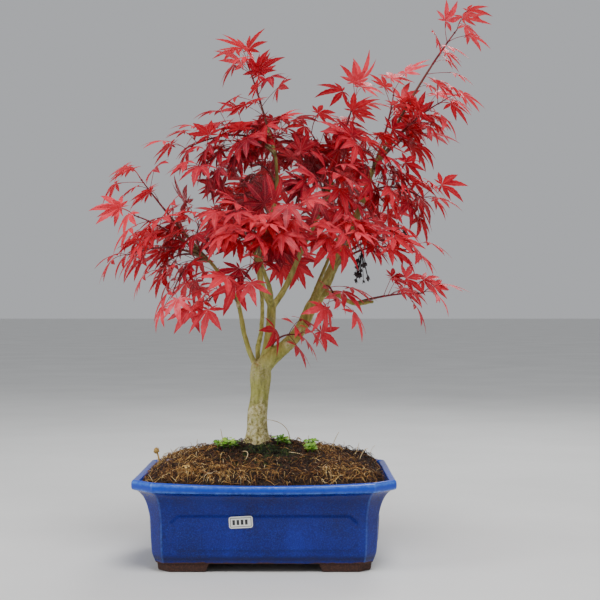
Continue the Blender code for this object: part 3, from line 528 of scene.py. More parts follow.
# %% Floor with drainage holes
floor_rings = []
for z in (FOOT_HEIGHT - 0.0004, FOOT_HEIGHT + FLOOR):
    points = pot_plan(LIP_REACH * OUTER[0][0] - 0.003)[0]
    floor_rings.append([POT_MIDDLE + p + UP * z for p in points])
floor_plate = block("pot_floor", floor_rings, brown_clay, "cobalt_glaze", 0.0004)
floor_plate.modifiers.clear()
for side in (-1, 1):
    cutter = bpy.data.meshes.new("hole")
    hole = bmesh.new()
    round_hole = {"segments": 48, "radius1": DRAIN_RADIUS, "radius2": DRAIN_RADIUS, "depth": 0.08}
    bmesh.ops.create_cone(hole, cap_ends=True, **round_hole)
    hole.to_mesh(cutter)
    hole.free()
    cutter.transform(Matrix.Translation(POT_MIDDLE + Vector((side * DRAIN_PITCH / 2, 0, FOOT_HEIGHT))))
    punch = bpy.data.objects.new("hole", cutter)
    bpy.context.scene.collection.objects.link(punch)
    cut = floor_plate.modifiers.new("hole", "BOOLEAN")
    cut.object, cut.operation, cut.solver = punch, "DIFFERENCE", "EXACT"
    cut_mesh = as_shown(floor_plate)
    floor_plate.modifiers.clear()
    floor_plate.data = cut_mesh
    bpy.data.objects.remove(punch)
print("floor faces:", len(floor_plate.data.polygons))

# %% [markdown]
# ## Label and drainage netting
# The paper price label and the two plastic nets keep their plain shapes, which are right already. They only need
# finishes: matt paper with a thin printed frame and a row of plain bars, and black plastic with a faint grain.

# %% Paper and plastic
label_low, label_high, label_middle = box_of("label")
LABEL_TURN = math.radians(3.0)
FRAME_X, FRAME_Z, FRAME_LINE = 0.0112, 0.0050, 0.00028
BARS_X, BARS_Z, BAR_PITCH = 0.0088, 0.0027, 0.0044
paper, tree = new_finish("white_paper")
where = place_of(tree)
spot = add(tree, "TexCoord").outputs["Object"]
lie = {"Location": tuple(label_middle), "Rotation": (0, -LABEL_TURN, 0)}
on_label = add(tree, "Mapping", {"vector_type": "TEXTURE"}, Vector=spot, **lie)
parts = add(tree, "SeparateXYZ", Vector=on_label.outputs["Vector"])
across, upward = (sums(tree, "ABSOLUTE", parts.outputs[axis]) for axis in "XZ")
in_frame = sums(
    tree, "MAXIMUM", sums(tree, "SUBTRACT", across, FRAME_X), sums(tree, "SUBTRACT", upward, FRAME_Z)
)
frame_line = sums(tree, "LESS_THAN", sums(tree, "ABSOLUTE", plus(tree, in_frame, 0.0004)), FRAME_LINE)
in_bars = times(
    tree, sums(tree, "LESS_THAN", across, BARS_X), sums(tree, "LESS_THAN", upward, BARS_Z)
)
along_bars = times(tree, plus(tree, parts.outputs["X"], BARS_X), 1 / BAR_PITCH)
bars = sums(tree, "LESS_THAN", sums(tree, "FRACT", along_bars), 0.62)
ink = sums(tree, "MAXIMUM", frame_line, times(tree, in_bars, bars))
fibres = ramp(tree, cloud(tree, where, 1500, 4), (0.3, (222, 220, 212)), (0.7, (246, 245, 240)))
colour = blend(tree, ink, fibres, paint(38, 36, 40))
surface(tree, coat(tree, colour, 0.55, cloud(tree, where, 1500, 3), 0.2, 0.0002))

net = simple_finish(
    "black_netting", (500, 4), ((0.3, (20, 20, 22)), (0.7, (52, 50, 50))), 0.5, (1800, 2), (0.3, 0.0002)
)
for name, finish in (("label", paper), ("drain_screen_left", net), ("drain_screen_right", net)):
    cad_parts[name].data.materials.clear()
    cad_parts[name].data.materials.append(finish)
print("label:", [round(c * 1000, 1) for c in label_high - label_low], "mm")

# %% [markdown]
# ## The soil's surface
# The soil is a mound, highest round the trunk. The plain solid knows how high it is everywhere, so `ground` drops a
# ray on it, as a finger pressed down. Close to the trunk the solid has a hole, and the height is taken from beside
# it. Crumbs and clods are then pushed up and down with noise of three sizes.

# %% Height of the ground
soil_tree = BVHTree.FromObject(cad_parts["soil_mound"], bpy.context.evaluated_depsgraph_get())
soil_low, soil_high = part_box("soil_mound")
TREE_PLACE = POT_MIDDLE + Vector((-0.010, 0.0, 0.0))
TREE_CLEAR = 0.023
SOIL_EDGE = POT_HEIGHT * 0.945


def ground(x, y):
    """Height of the soil here."""
    away = Vector((x - TREE_PLACE.x, y - TREE_PLACE.y, 0))
    rise = 0.0
    if away.length < TREE_CLEAR:
        rise = (TREE_CLEAR - away.length) * 0.05
        away = away.normalized() if away.length > 1e-6 else Vector((0, -1, 0))
        x, y = TREE_PLACE.x + away.x * TREE_CLEAR, TREE_PLACE.y + away.y * TREE_CLEAR
    hit = soil_tree.ray_cast(Vector((x, y, 0.4)), -UP)[0]
    return (hit.z if hit and hit.z > SOIL_EDGE - 0.004 else SOIL_EDGE - 0.002) + rise


def clods(x, y):
    spot = Vector((x, y, 0.0))
    big, small, grit = (noise.noise(spot * size) for size in (70, 190, 520))
    return 0.0022 * big + 0.0018 * small + 0.0009 * grit


print("soil from", round(soil_low.z, 4), "to", round(soil_high.z, 4))

# %% [markdown]
# The soil mesh is rings that shrink from the pot's wall to the middle, so that its edge follows the cut corners.

# %% Soil mesh
RINGS = 78
soil_x, soil_y = (soil_high.x - soil_low.x) / 2, (soil_high.y - soil_low.y) / 2
rim_points = [POT_MIDDLE + Vector((p.x, p.y, 0)) for p in pot_plan(soil_x - WALL_X)[0]][::2]
dirt = Heap()
soil_points, soil_damp = [], []
for i in range(RINGS + 1):
    share = 1 - (i / RINGS) * 0.985
    for rim in rim_points:
        spot = POT_MIDDLE.lerp(rim, share * 0.9985)
        fade = min(1.0, (1 - share) / 0.05)
        high = ground(spot.x, spot.y) + clods(spot.x, spot.y) * (0.3 + 0.7 * fade)
        soil_points.append((spot.x, spot.y, high))
        soil_damp.append(0.5 + 0.5 * noise.noise(Vector((spot.x, spot.y, 2.0)) * 26))
count = len(rim_points)
middle_face = tuple(range(RINGS * count, (RINGS + 1) * count))
dirt.put(soil_points, woven(RINGS + 1, count) + [middle_face], 0, damp=soil_damp)

# %% [markdown]
# Moist potting soil is dark brown, and warm brown on top of its crumbs. The colour comes from noise at the size of a
# crumb, and the bump from the same noise, so that each pale crumb also stands up. The near-black in the low places
# between the crumbs is painted shade.

# %% Soil finish
earth, tree = new_finish("dark_soil")
where = place_of(tree)
crumbs = cloud(tree, where, 420, 6, 0.65)
# the darkest stop, where the crumb bump is low, is painted shade between the crumbs
colour = ramp(
    tree, crumbs, (0.34, (14, 10, 8)), (0.50, (44, 30, 20)), (0.62, (92, 62, 36)), (0.74, (132, 96, 56))
)
colour = blend(tree, times(tree, mark(tree, "damp"), 0.55), colour, paint(22, 15, 11))
surface(tree, coat(tree, colour, 0.95, crumbs, 1.0, 0.0022))
dirt.piece("soil_surface", [earth], "soil_and_fibre", ("soil_mound",))
print("soil points:", len(soil_points))

# %% [markdown]
# ## The fibre mat
# What shows most on the mound is a tangle of dry roots and moss fibre, brown, orange and straw-gold. A hair system
# could do it, but the exported model needs real meshes, so each fibre is a three-sided tube on a wandering line.
# A random heading that drifts at every step gives the curl, and `tone` spreads the fibres over the colours.

# %% Fibres
FIBRES, DRY_ENDS, CRUMBS = 9000, 520, 1500
MOSS_HEART = (TREE_PLACE.x + 0.012, TREE_PLACE.y - 0.038)
MOSS_WIDE, MOSS_DEEP = 0.046, 0.052
dice = random.Random(11)


def in_pot(dice, edge=0.99):
    """A random place on the soil, drawn until it falls inside the cut-corner outline."""
    while True:
        u, v = dice.uniform(-1, 1), dice.uniform(-1, 1)
        in_corners = abs(u) * soil_x + abs(v) * soil_y < (soil_x + soil_y - CORNER_CUT) * edge
        if in_corners and max(abs(u), abs(v)) < edge:
            return POT_MIDDLE.x + u * soil_x, POT_MIDDLE.y + v * soil_y


def inside_pot(x, y, edge=0.995):
    u, v = abs(x - POT_MIDDLE.x), abs(y - POT_MIDDLE.y)
    in_corners = u + v < (soil_x + soil_y - CORNER_CUT) * edge
    return in_corners and u < soil_x * edge and v < soil_y * edge


def fibre(dice, x, y, length, lift, curl):
    """A wandering line of points that lies on the soil or stands up out of it."""
    heading = dice.uniform(0, 2 * math.pi)
    steps = 6
    high = 0.0
    points = []
    for i in range(steps + 1):
        points.append(Vector((x, y, ground(x, y) + clods(x, y) + 0.0004 + high)))
        heading += dice.uniform(-curl, curl)
        x += math.cos(heading) * length / steps
        y += math.sin(heading) * length / steps
        if not inside_pot(x, y):
            break
        high = lift * math.sin(math.pi * (i + 1) / steps) + dice.uniform(0, 0.0008)
    return points


mats = [Heap(), Heap()]
for number in range(FIBRES):
    x, y = in_pot(dice)
    patch = noise.noise(Vector((x, y, 5.0)) * 17)
    side = (POT_MIDDLE.x - x) / soil_x * 0.14 + (POT_MIDDLE.y - y) / soil_y * 0.08
    golden = dice.random() + patch * 0.9 + side
    mossy = math.hypot((x - MOSS_HEART[0]) / MOSS_WIDE, (y - MOSS_HEART[1]) / MOSS_DEEP)
    if dice.random() > mossy * 0.85:
        continue
    length = dice.uniform(0.006, 0.026)
    lift = dice.uniform(0.0002, 0.0028) if dice.random() < 0.88 else dice.uniform(0.003, 0.0075)
    line_of = fibre(dice, x, y, length, lift, 0.75)
    if len(line_of) < 3:
        continue
    thick = dice.uniform(0.00016, 0.00052)
    radii = [thick * (1 - 0.75 * abs(2 * i / (len(line_of) - 1) - 1) ** 2) for i in range(len(line_of))]
    tone = 0.34 + 0.55 * golden - 0.55 * dice.random() - 0.22 * max(0.0, 1.6 - mossy)
    tone = max(0.16, min(1.0, tone))
    mats[number % 2].put(*tube(line_of, radii, 3), 0, tone=tone)

# %% [markdown]
# Short dry ends stick up out of the mat all over it, and a few long pale grass stalks arch over it. They give the
# mound its fuzzy outline against the wall behind.

# %% Standing ends and grass
for number in range(DRY_ENDS):
    x, y = in_pot(dice, 0.97)
    base = Vector((x, y, ground(x, y) - 0.001))
    lean = Vector((dice.uniform(-1, 1), dice.uniform(-1, 1), dice.uniform(0.5, 1.6))).normalized()
    tall = dice.uniform(0.004, 0.011) if dice.random() < 0.9 else dice.uniform(0.011, 0.020)
    knee = base + lean * tall * 0.6 + UP * tall * 0.2
    tip = base + lean * tall + Vector((dice.uniform(-1, 1), dice.uniform(-1, 1), -0.4)) * tall * 0.25
    end = tube(bend(base, knee, tip, 4), [0.00032, 0.0003, 0.00026, 0.0002, 0.0001], 3)
    mats[number % 2].put(*end, 0, tone=dice.uniform(0.25, 1.0))
GRASS = (
    ((0.026, 0.030), (0.002, 0.0, 0.020), (-0.032, -0.004, 0.029)),
    ((0.072, 0.012), (0.004, 0.0, 0.012), (0.010, 0.0, 0.024)),
    ((0.098, 0.010), (0.004, 0.002, 0.008), (0.007, 0.0, 0.019)),
    ((0.104, -0.006), (0.002, 0.0, 0.010), (0.010, 0.004, 0.016)),
    ((-0.050, 0.040), (-0.002, 0.0, 0.012), (-0.004, 0.0, 0.022)),
    ((-0.076, 0.010), (-0.003, 0.0, 0.010), (-0.002, 0.0, 0.017)),
    ((-0.028, -0.034), (0.010, -0.012, 0.004), (0.008, -0.030, -0.004)),
    ((0.020, -0.030), (0.018, -0.014, 0.002), (0.026, -0.030, -0.006)),
    ((-0.080, -0.030), (0.020, -0.002, 0.009), (0.042, 0.002, 0.006)),
)
for (gx, gy), knee, tip in GRASS:
    x, y = POT_MIDDLE.x + gx, POT_MIDDLE.y + gy
    base = Vector((x, y, ground(x, y) - 0.001))
    line_of = bend(base, base + Vector(knee) * 1.4, base + Vector(tip), 10)
    line_of = line_of[:1] + [Vector((p.x, p.y, max(p.z, ground(p.x, p.y) + 0.0008))) for p in line_of[1:]]
    line_of = [p for p in line_of if inside_pot(p.x, p.y)]
    radii = [0.00055 * (1 - 0.5 * i / 10) for i in range(len(line_of))]
    mats[0].put(*tube(line_of, radii, 5), 0, tone=0.97)

# %% [markdown]
# Dry fibre is matt, and each strand is a little darker towards one side of the noise, so no two look the same.

# %% Fibre finish
FIBRE_COLOURS = (
    (0.08, (24, 15, 10)), (0.30, (62, 36, 20)), (0.48, (116, 72, 36)),
    (0.64, (172, 124, 60)), (0.82, (208, 174, 104)), (1.0, (234, 212, 166)),
)
straw_mat = simple_finish(
    "dry_fibre", (240, 3), FIBRE_COLOURS, 0.8, (3000, 2), (0.3, 0.0002), ("tone", 0.25, 0.16)
)
for number, mat in enumerate(mats, 1):
    mat.piece(f"fibre_mat_{number}", [straw_mat], "soil_and_fibre")
print("fibre faces:", [len(mat.faces) for mat in mats])

# %% [markdown]
# ## Crumbs of soil
# Small lumps between the fibres break up the smooth mound. Each is a squashed and roughened ball of twelve points.

# %% Crumbs
crumb_heap = Heap()
crumb_faces = []
for k in range(5):
    after = (k + 1) % 5
    crumb_faces += [(0, 2 + k, 2 + after), (1, 7 + after, 7 + k)]
    crumb_faces += [(2 + k, 7 + k, 2 + after), (7 + k, 7 + after, 2 + after)]
for number in range(CRUMBS):
    x, y = in_pot(dice, 0.98)
    size = dice.uniform(0.0005, 0.0014) if dice.random() < 0.9 else dice.uniform(0.0014, 0.0026)
    middle = Vector((x, y, ground(x, y) + clods(x, y) + size * 0.3))
    ball_points = [Vector((0, 0, 1)), Vector((0, 0, -1))]
    for level in (0.55, -0.55):
        for k in range(5):
            turn = 2 * math.pi * (k + (0.5 if level < 0 else 0)) / 5
            ball_points.append(Vector((math.cos(turn) * 0.84, math.sin(turn) * 0.84, level)))
    ball_points = [middle + p * size * dice.uniform(0.7, 1.25) for p in ball_points]
    crumb_heap.put(ball_points, crumb_faces, 0, damp=dice.uniform(0, 1))
crumb_heap.piece("soil_crumbs", [earth], "soil_and_fibre")

# %% [markdown]
# ## The tree's skeleton
# The maple was pruned hard once: a straight trunk ends in a knobbly fork, and a few limbs rise from it, the thickest
# to the right. Each limb is a line of points (across, back, up, as shares of the tree's spread and height) with its
# thickness. They are the same lines that the plain solid was built on, so the bark lies where the solid says.

# %% Lines of the limbs
TREE_HEIGHT, TREE_SPREAD = 0.460, 0.360
TRUNK_RADIUS, BRANCHLET_RADIUS, SHOOT_LENGTH = 0.0113, 0.0019, 0.052
TRUNK = ((0.0, 0.065, 0.98), (0.008, 0.115, 0.92), (0.010, 0.155, 1.06), (0.012, 0.185, 0.96))
LIMBS = {
    "right": (
        (0.86, 0.80, 0.66, 0.62, 0.60, 0.56, 0.50, 0.42, 0.34, 0.27, 0.22),
        ((0.01, 0.00, 0.17), (0.04, -0.01, 0.20),
         (0.10, -0.01, 0.24), (0.14, -0.01, 0.28), (0.17, -0.01, 0.33),
         (0.20, 0.00, 0.36), (0.24, 0.01, 0.43), (0.29, 0.03, 0.51), (0.33, 0.03, 0.59), (0.36, 0.03, 0.66),
         (0.40, 0.00, 0.71)),
    ),
    "middle": (
        (0.74, 0.62, 0.50, 0.44),
        ((0.01, 0.00, 0.16), (0.03, 0.00, 0.21), (0.04, 0.01, 0.27), (0.045, 0.01, 0.33)),
    ),
    "middle_left": (
        (0.34, 0.30, 0.27, 0.23, 0.19, 0.16, 0.12),
        ((0.045, 0.01, 0.325), (0.01, 0.03, 0.39),
         (0.01, 0.04, 0.46), (0.04, 0.04, 0.54), (0.06, 0.03, 0.62),
         (0.055, 0.00, 0.70), (0.03, -0.01, 0.76)),
    ),
    "middle_right": (
        (0.34, 0.30, 0.24, 0.19, 0.13),
        ((0.045, 0.01, 0.325), (0.09, 0.04, 0.38),
         (0.14, 0.07, 0.47), (0.19, 0.08, 0.55), (0.24, 0.08, 0.64)),
    ),
    "middle_front": (
        (0.30, 0.25, 0.20, 0.14),
        ((0.045, 0.01, 0.325), (0.04, -0.06, 0.37), (0.02, -0.12, 0.42), (0.00, -0.17, 0.48)),
    ),
    "left": (
        (0.30, 0.28, 0.25, 0.22, 0.20, 0.17, 0.12),
        ((0.01, 0.00, 0.17), (-0.015, 0.00, 0.20),
         (-0.04, -0.01, 0.26), (-0.06, -0.03, 0.34), (-0.10, -0.04, 0.39),
         (-0.15, -0.04, 0.44), (-0.21, -0.04, 0.47)),
    ),
    "back": (
        (0.30, 0.27, 0.24, 0.21, 0.18, 0.13),
        ((0.01, 0.00, 0.165), (0.00, 0.03, 0.22),
         (0.01, 0.08, 0.27), (0.01, 0.14, 0.35), (-0.01, 0.18, 0.44),
         (-0.03, 0.22, 0.53)),
    ),
    "back_right": (
        (0.34, 0.28, 0.20, 0.14),
        ((0.15, -0.01, 0.29), (0.17, 0.08, 0.34), (0.21, 0.17, 0.42), (0.26, 0.21, 0.51)),
    ),
    "right_low": (
        (0.32, 0.26, 0.20, 0.15),
        ((0.19, 0.00, 0.355), (0.24, -0.03, 0.36), (0.30, -0.06, 0.335), (0.36, -0.06, 0.34)),
    ),
    "front_right": (
        (0.32, 0.26, 0.20, 0.14),
        ((0.17, -0.01, 0.33), (0.20, -0.08, 0.37), (0.24, -0.14, 0.42), (0.28, -0.17, 0.47)),
    ),
}
ROOT_DEPTH = 0.045
TREE_FOOT = Vector((TREE_PLACE.x, TREE_PLACE.y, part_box("trunk_and_branches")[0].z + ROOT_DEPTH))


def tree_point(across, back, up):
    return TREE_FOOT + Vector((across * TREE_SPREAD, back * TREE_SPREAD, up * TREE_HEIGHT))


print("tree stands at", [round(c, 4) for c in TREE_FOOT], " limbs:", len(LIMBS))

# %% [markdown]
# ## Ends of the shoots
# Every leafy shoot leaves its limb and curves up to a known end. `nearest_on` finds where it leaves, and each line
# is kept in `shoot_lines`. Its first part is brown wood, and the last five centimetres are red and carry leaves.

# %% Lines of the shoots
SHOOTS = {
    "left": (
        (-0.36, -0.07, 0.64), (-0.39, -0.11, 0.45),
        (-0.36, -0.17, 0.54), (-0.28, 0.06, 0.51), (-0.25, -0.13, 0.36),
        (-0.14, -0.17, 0.34), (-0.32, 0.10, 0.42), (-0.17, -0.13, 0.52), (-0.22, 0.09, 0.40),
    ),
    "middle_left": (
        (-0.03, -0.02, 0.92), (-0.22, -0.04, 0.71),
        (-0.17, -0.10, 0.66), (-0.06, -0.08, 0.72), (-0.08, 0.09, 0.61),
        (-0.03, 0.15, 0.69), (0.08, 0.06, 0.76),
    ),
    "middle_front": ((0.03, -0.28, 0.48), (-0.06, -0.24, 0.53), (0.11, -0.25, 0.54), (-0.03, -0.24, 0.39)),
    "middle_right": (
        (0.17, 0.07, 0.76), (0.28, 0.10, 0.79), (0.14, -0.02, 0.67), (0.24, 0.17, 0.70), (0.31, 0.06, 0.85),
    ),
    "right": (
        (0.62, -0.03, 1.00), (0.57, -0.07, 0.82), (0.43, 0.04, 0.86), (0.53, 0.06, 0.77),
        (0.39, -0.09, 0.63), (0.32, -0.10, 0.70), (0.51, -0.06, 0.59), (0.23, -0.17, 0.60),
    ),
    "back_right": ((0.40, 0.27, 0.57), (0.25, 0.31, 0.61)),
    "front_right": ((0.26, -0.28, 0.48), (0.39, -0.21, 0.48), (0.24, -0.18, 0.34), (0.45, -0.16, 0.46)),
    "right_low": ((0.51, -0.07, 0.36),),
    "back": ((-0.10, 0.29, 0.56), (0.01, 0.31, 0.64), (0.08, 0.26, 0.46)),
    "middle": ((0.13, -0.10, 0.26),),
}


def nearest_on(path, target):
    best = None
    for a, b in zip(path, path[1:]):
        along = b - a
        t = max(0.0, min(1.0, (target - a).dot(along) / along.length_squared))
        distance = (a + along * t - target).length
        if best is None or distance < best[0]:
            best = (distance, a, along, t)
    distance, a, along, t = best
    back = min(t, 0.5 * distance / along.length)
    return a + along * (t - back), along.normalized()


shoot_lines = {}
for limb, ends in SHOOTS.items():
    path = [tree_point(*point) for point in LIMBS[limb][1]]
    for number, end in enumerate(ends, 1):
        target = tree_point(*end)
        start, leave = nearest_on(path, target)
        reach = (target - start).length
        knee = start + leave * reach * 0.30 + (target - start) * 0.22 + UP * reach * 0.10
        wooden = 1 - min(0.62, SHOOT_LENGTH / reach)
        shoot_lines[f"spray_{limb}_{number}"] = (start, knee, target, wooden)
missing = sorted(set(shoot_lines) ^ {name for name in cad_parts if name.startswith("spray_")})
print("shoots:", len(shoot_lines), " without a solid or a line:", missing)

# %% [markdown]
# ## Bark
# The limbs are swept as overlapping tubes and melted into one skin with a voxel remesh, the quickest way to a fork
# without seams. The skin is then smoothed and pushed in and out along its normals: swollen roots at the foot, a
# knobbly pruning scar in the fork, rings where limbs were cut, and long low ridges.

# %% Trunk and limbs
SKIN = 0.0009
sweep = Heap()
stump_line = [(-ROOT_DEPTH, 0.90), (-ROOT_DEPTH * 0.45, 1.70), (-0.006, 1.38), (0.010, 1.04)]
line_of = [Vector((TREE_FOOT.x, TREE_FOOT.y, TREE_FOOT.z + z)) for z, _ in stump_line]
radii = [TRUNK_RADIUS * share for _, share in stump_line]
for across, up, share in TRUNK:
    line_of.append(tree_point(across, 0.0, up))
    radii.append(TRUNK_RADIUS * share)
sweep.put(*tube(flow(line_of, 6), [max(r, 0.002) for r in flow(radii, 6)], 28))
for shares, points in LIMBS.values():
    line_of = flow([tree_point(*point) for point in points], 8)
    radii = [max(0.0009, TRUNK_RADIUS * share) for share in flow(list(shares), 8)]
    sweep.put(*tube(line_of, radii, 16))
knob_dice = random.Random(3)
KNOB = tree_point(0.006, -0.004, 0.172)
for _ in range(9):
    spot = KNOB + Vector([knob_dice.uniform(-1, 1) * reach for reach in (0.0085, 0.0075, 0.0055)])
    size = knob_dice.uniform(0.0026, 0.0042)
    line_of = [spot + UP * size * (t - 0.5) * 2 for t in (0, 0.15, 0.5, 0.85, 1)]
    sweep.put(*tube(line_of, [size * s for s in (0.25, 0.7, 1.0, 0.7, 0.25)], 10))
CUTS = (  # across, back, up, size
    (0.096, -0.036, 0.238, 0.0034), (0.128, -0.034, 0.272, 0.0026),
    (0.05, 0.012, 0.30, 0.0030), (-0.058, -0.044, 0.33, 0.0022),
)
for across, back, up, size in CUTS:
    spot = tree_point(across, back, up)
    line_of = [spot + Vector((0, 0.006, 0)), spot + Vector((0, 0.001, 0)), spot]
    sweep.put(*tube(line_of, [size, size, size * 0.75], 12))
timber = sweep.piece("trunk_and_limbs", [brown_clay], "maple_bark", ("trunk_and_branches",))
melt = timber.modifiers.new("melt", "REMESH")
melt.mode, melt.voxel_size, melt.use_smooth_shade = "VOXEL", SKIN, True
ease = timber.modifiers.new("ease", "SMOOTH")
ease.factor, ease.iterations = 0.5, 5
skin_mesh = as_shown(timber)
timber.modifiers.clear()
timber.data = skin_mesh
print("bark faces:", len(skin_mesh.polygons))

# %% [markdown]
# The pushes are small, under a millimetre, except for the root swellings. `scar` marks rough places for the colour.

# %% Ridges, roots and scars
scar, moved = [], []
spots = np.zeros(len(skin_mesh.vertices) * 3, np.float32)
skin_mesh.vertices.foreach_get("co", spots)
normals = np.zeros_like(spots)
skin_mesh.vertex_normals.foreach_get("vector", normals)
for row, normal in zip(spots.reshape(-1, 3), normals.reshape(-1, 3)):
    spot = Vector(row)
    above = spot.z - TREE_FOOT.z
    push = 0.0004 * noise.noise(Vector((spot.x * 330, spot.y * 330, spot.z * 60)))
    push += 0.00022 * noise.noise(spot * 900)
    rough = 0.0
    if above < 0.05:
        turn = math.atan2(spot.y - TREE_FOOT.y, spot.x - TREE_FOOT.x)
        swell = math.exp(-max(0.0, above) / 0.011)
        push += swell * (0.0016 * math.sin(turn * 4 + 0.6) + 0.0010 * math.sin(turn * 7 + 2.0))
    knob = math.exp(-((spot - KNOB).length / 0.012) ** 2)
    rough = knob
    for across, back, up, size in CUTS:
        near = math.exp(-((spot - tree_point(across, back, up)).length / (size * 1.5)) ** 2)
        rough = max(rough, near)
    push += knob * 0.0011 * noise.noise(spot * 420) + rough * 0.0005 * noise.noise(spot * 800)
    moved.extend(spot + Vector(normal) * push)
    scar.append(rough)
skin_mesh.vertices.foreach_set("co", moved)
skin_mesh.update()
layer = skin_mesh.attributes.new("scar", "FLOAT", "POINT")
layer.data.foreach_set("value", np.array(scar, np.float32))

# %% [markdown]
# Young maple bark is smooth and olive green. Low on this trunk it has gone cream and flaky, with patches of brown,
# and the scars are pale and cracked. Height above the soil drives the change, broken up by noise, and the pattern is
# stretched upwards, because bark cracks along the limb.

# %% Bark finish
bark, tree = new_finish("maple_bark")
where = place_of(tree)
grain = cloud(tree, place_of(tree, (1, 1, 0.22)), 260, 5, 0.6)
flakes = cloud(tree, where, 240, 5, 0.62)
green = ramp(tree, grain, (0.28, (112, 114, 44)), (0.5, (164, 164, 78)), (0.75, (198, 198, 120)))
cream = ramp(
    tree, flakes,
    (0.34, (112, 100, 54)), (0.46, (176, 166, 100)), (0.58, (216, 208, 162)), (0.75, (236, 230, 198)),
)
high = sums(tree, "SUBTRACT", add(tree, "SeparateXYZ", Vector=where).outputs["Z"], TREE_FOOT.z)
ragged = times(tree, sums(tree, "SUBTRACT", cloud(tree, where, 90, 4), 0.5), 0.11)
low_part = spread(tree, plus(tree, high, ragged), 0.062, 0.020)
crown_part = times(tree, spread(tree, high, 0.10, 0.24), 0.55)
scarred = times(tree, mark(tree, "scar"), spread(tree, cloud(tree, where, 500, 4), 0.35, 0.6))
specks = times(tree, spread(tree, cloud(tree, where, 620, 3), 0.63, 0.70), 0.55)
colour = blend(tree, low_part, green, cream)
for patch, tint in ((crown_part, (104, 84, 52)), (scarred, (206, 196, 160)), (specks, (76, 60, 34))):
    colour = blend(tree, patch, colour, paint(*tint))
bumps = plus(tree, times(tree, grain, 0.6), flakes)
surface(tree, coat(tree, colour, 0.72, bumps, 0.7, 0.0011))
skin_mesh.materials.clear()
skin_mesh.materials.append(bark)

# %% [markdown]
# ## Twigs
# Each shoot starts as a thin brown twig. It is swept along its curve with a small collar where it leaves the limb.

# %% Twigs
TWIG_STEPS, TWIG_SIDES = 9, 8
twigs = Heap()
for start, knee, target, wooden in shoot_lines.values():
    parts = range(TWIG_STEPS + 1)
    line_of = [on_curve(start, knee, target, wooden * i / TWIG_STEPS) for i in parts]
    radii = [BRANCHLET_RADIUS * (1 - 0.42 * i / TWIG_STEPS) * (1.3 if i == 0 else 1.0) for i in parts]
    age = [1 - i / TWIG_STEPS for i in parts for _ in range(TWIG_SIDES)]
    twigs.put(*tube(line_of, radii, TWIG_SIDES), 0, age=age)
twig_bark = simple_finish(
    "twig_bark", (300, 4), ((0.0, (112, 30, 28)), (0.45, (92, 58, 38)), (1.0, (128, 116, 72))),
    0.6, (1200, 3), (0.4, 0.0004), ("age", 0.3, 0.3),
)
twigs.piece("twigs", [twig_bark], "maple_bark", ("trunk_and_branches",))
print("twigs:", len(shoot_lines))

# %% [markdown]
# ## Reading the plain leaves
# Each plain leaf is a flat star with a thick middle: one point above, one below, a rim of nine points between (five
# tips and four notches), and a stalk. So a leaf can be found in the solid as two points about a millimetre apart that
# share nine neighbours. Its tips give the size and the way it faces, and that is all a detailed leaf needs.

# %% Find the leaves in a solid
PLAIN_THICKNESS = 0.0011


def plain_leaves(node):
    """(middle, along, face, reach, stalk's start) of each plain leaf in a solid."""
    mesh = node.data
    key_of, points, index = {}, [], []
    for vertex in mesh.vertices:
        key = tuple(round(c * 1e5) for c in vertex.co)
        if key not in key_of:
            key_of[key] = len(points)
            points.append(vertex.co.copy())
        index.append(key_of[key])
    beside = [set() for _ in points]
    for a, b in mesh.edge_keys:
        a, b = index[a], index[b]
        if a != b:
            beside[a].add(b)
            beside[b].add(a)
    found = []
    for a in range(len(points)):
        if len(beside[a]) < 10:
            continue
        for b in range(a + 1, len(points)):
            if len(beside[b]) < 10 or (points[a] - points[b]).length > PLAIN_THICKNESS * 1.5:
                continue
            rim = beside[a] & beside[b]
            if len(rim) != 9:
                continue
            middle = (points[a] + points[b]) / 2
            face = (points[a] - points[b]).normalized()
            tip = max((points[i] for i in rim), key=lambda p: (p - middle).length)
            if (tip - middle).dot(face) > 0:
                face = -face
            along = tip - middle
            along = along - face * along.dot(face)
            reach = along.length
            near = (beside[a] | beside[b]) - rim - {a, b}
            far = set().union(*(beside[i] for i in near)) - near - rim - {a, b}
            start = sum((points[i] for i in far), Vector()) / max(1, len(far)) if far else middle - along
            found.append((middle, along.normalized(), face, reach, start))
    return found


plain = {name: plain_leaves(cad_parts[name]) for name in sorted(shoot_lines)}
most = max(map(len, plain.values()))
print("plain leaves found:", sum(map(len, plain.values())), " most on one shoot:", most)

# %% [markdown]
# ## A maple leaf
# A Japanese maple leaf has five to seven narrow lobes that meet at the stalk, each drawn out to a long point, with a
# fine-toothed edge and a rib along its middle. Here every lobe is a strip three points wide. Near the stalk it is as
# wide as its neighbours allow, so the lobes join there, and further out it follows its own lance shape. The edges are
# lifted a little from the rib and the tips hang and curl, each leaf differently.

# %% One leaf
LOBES = ((-122, 0.34), (-84, 0.62), (-41, 0.90), (0, 1.00), (41, 0.90), (84, 0.62), (122, 0.34))
LOBE_WIDTH = 0.132
FULLER = 1.10  # how much further a real blade reaches than its plain star
STATIONS = 13
leaf_dice = random.Random(21)


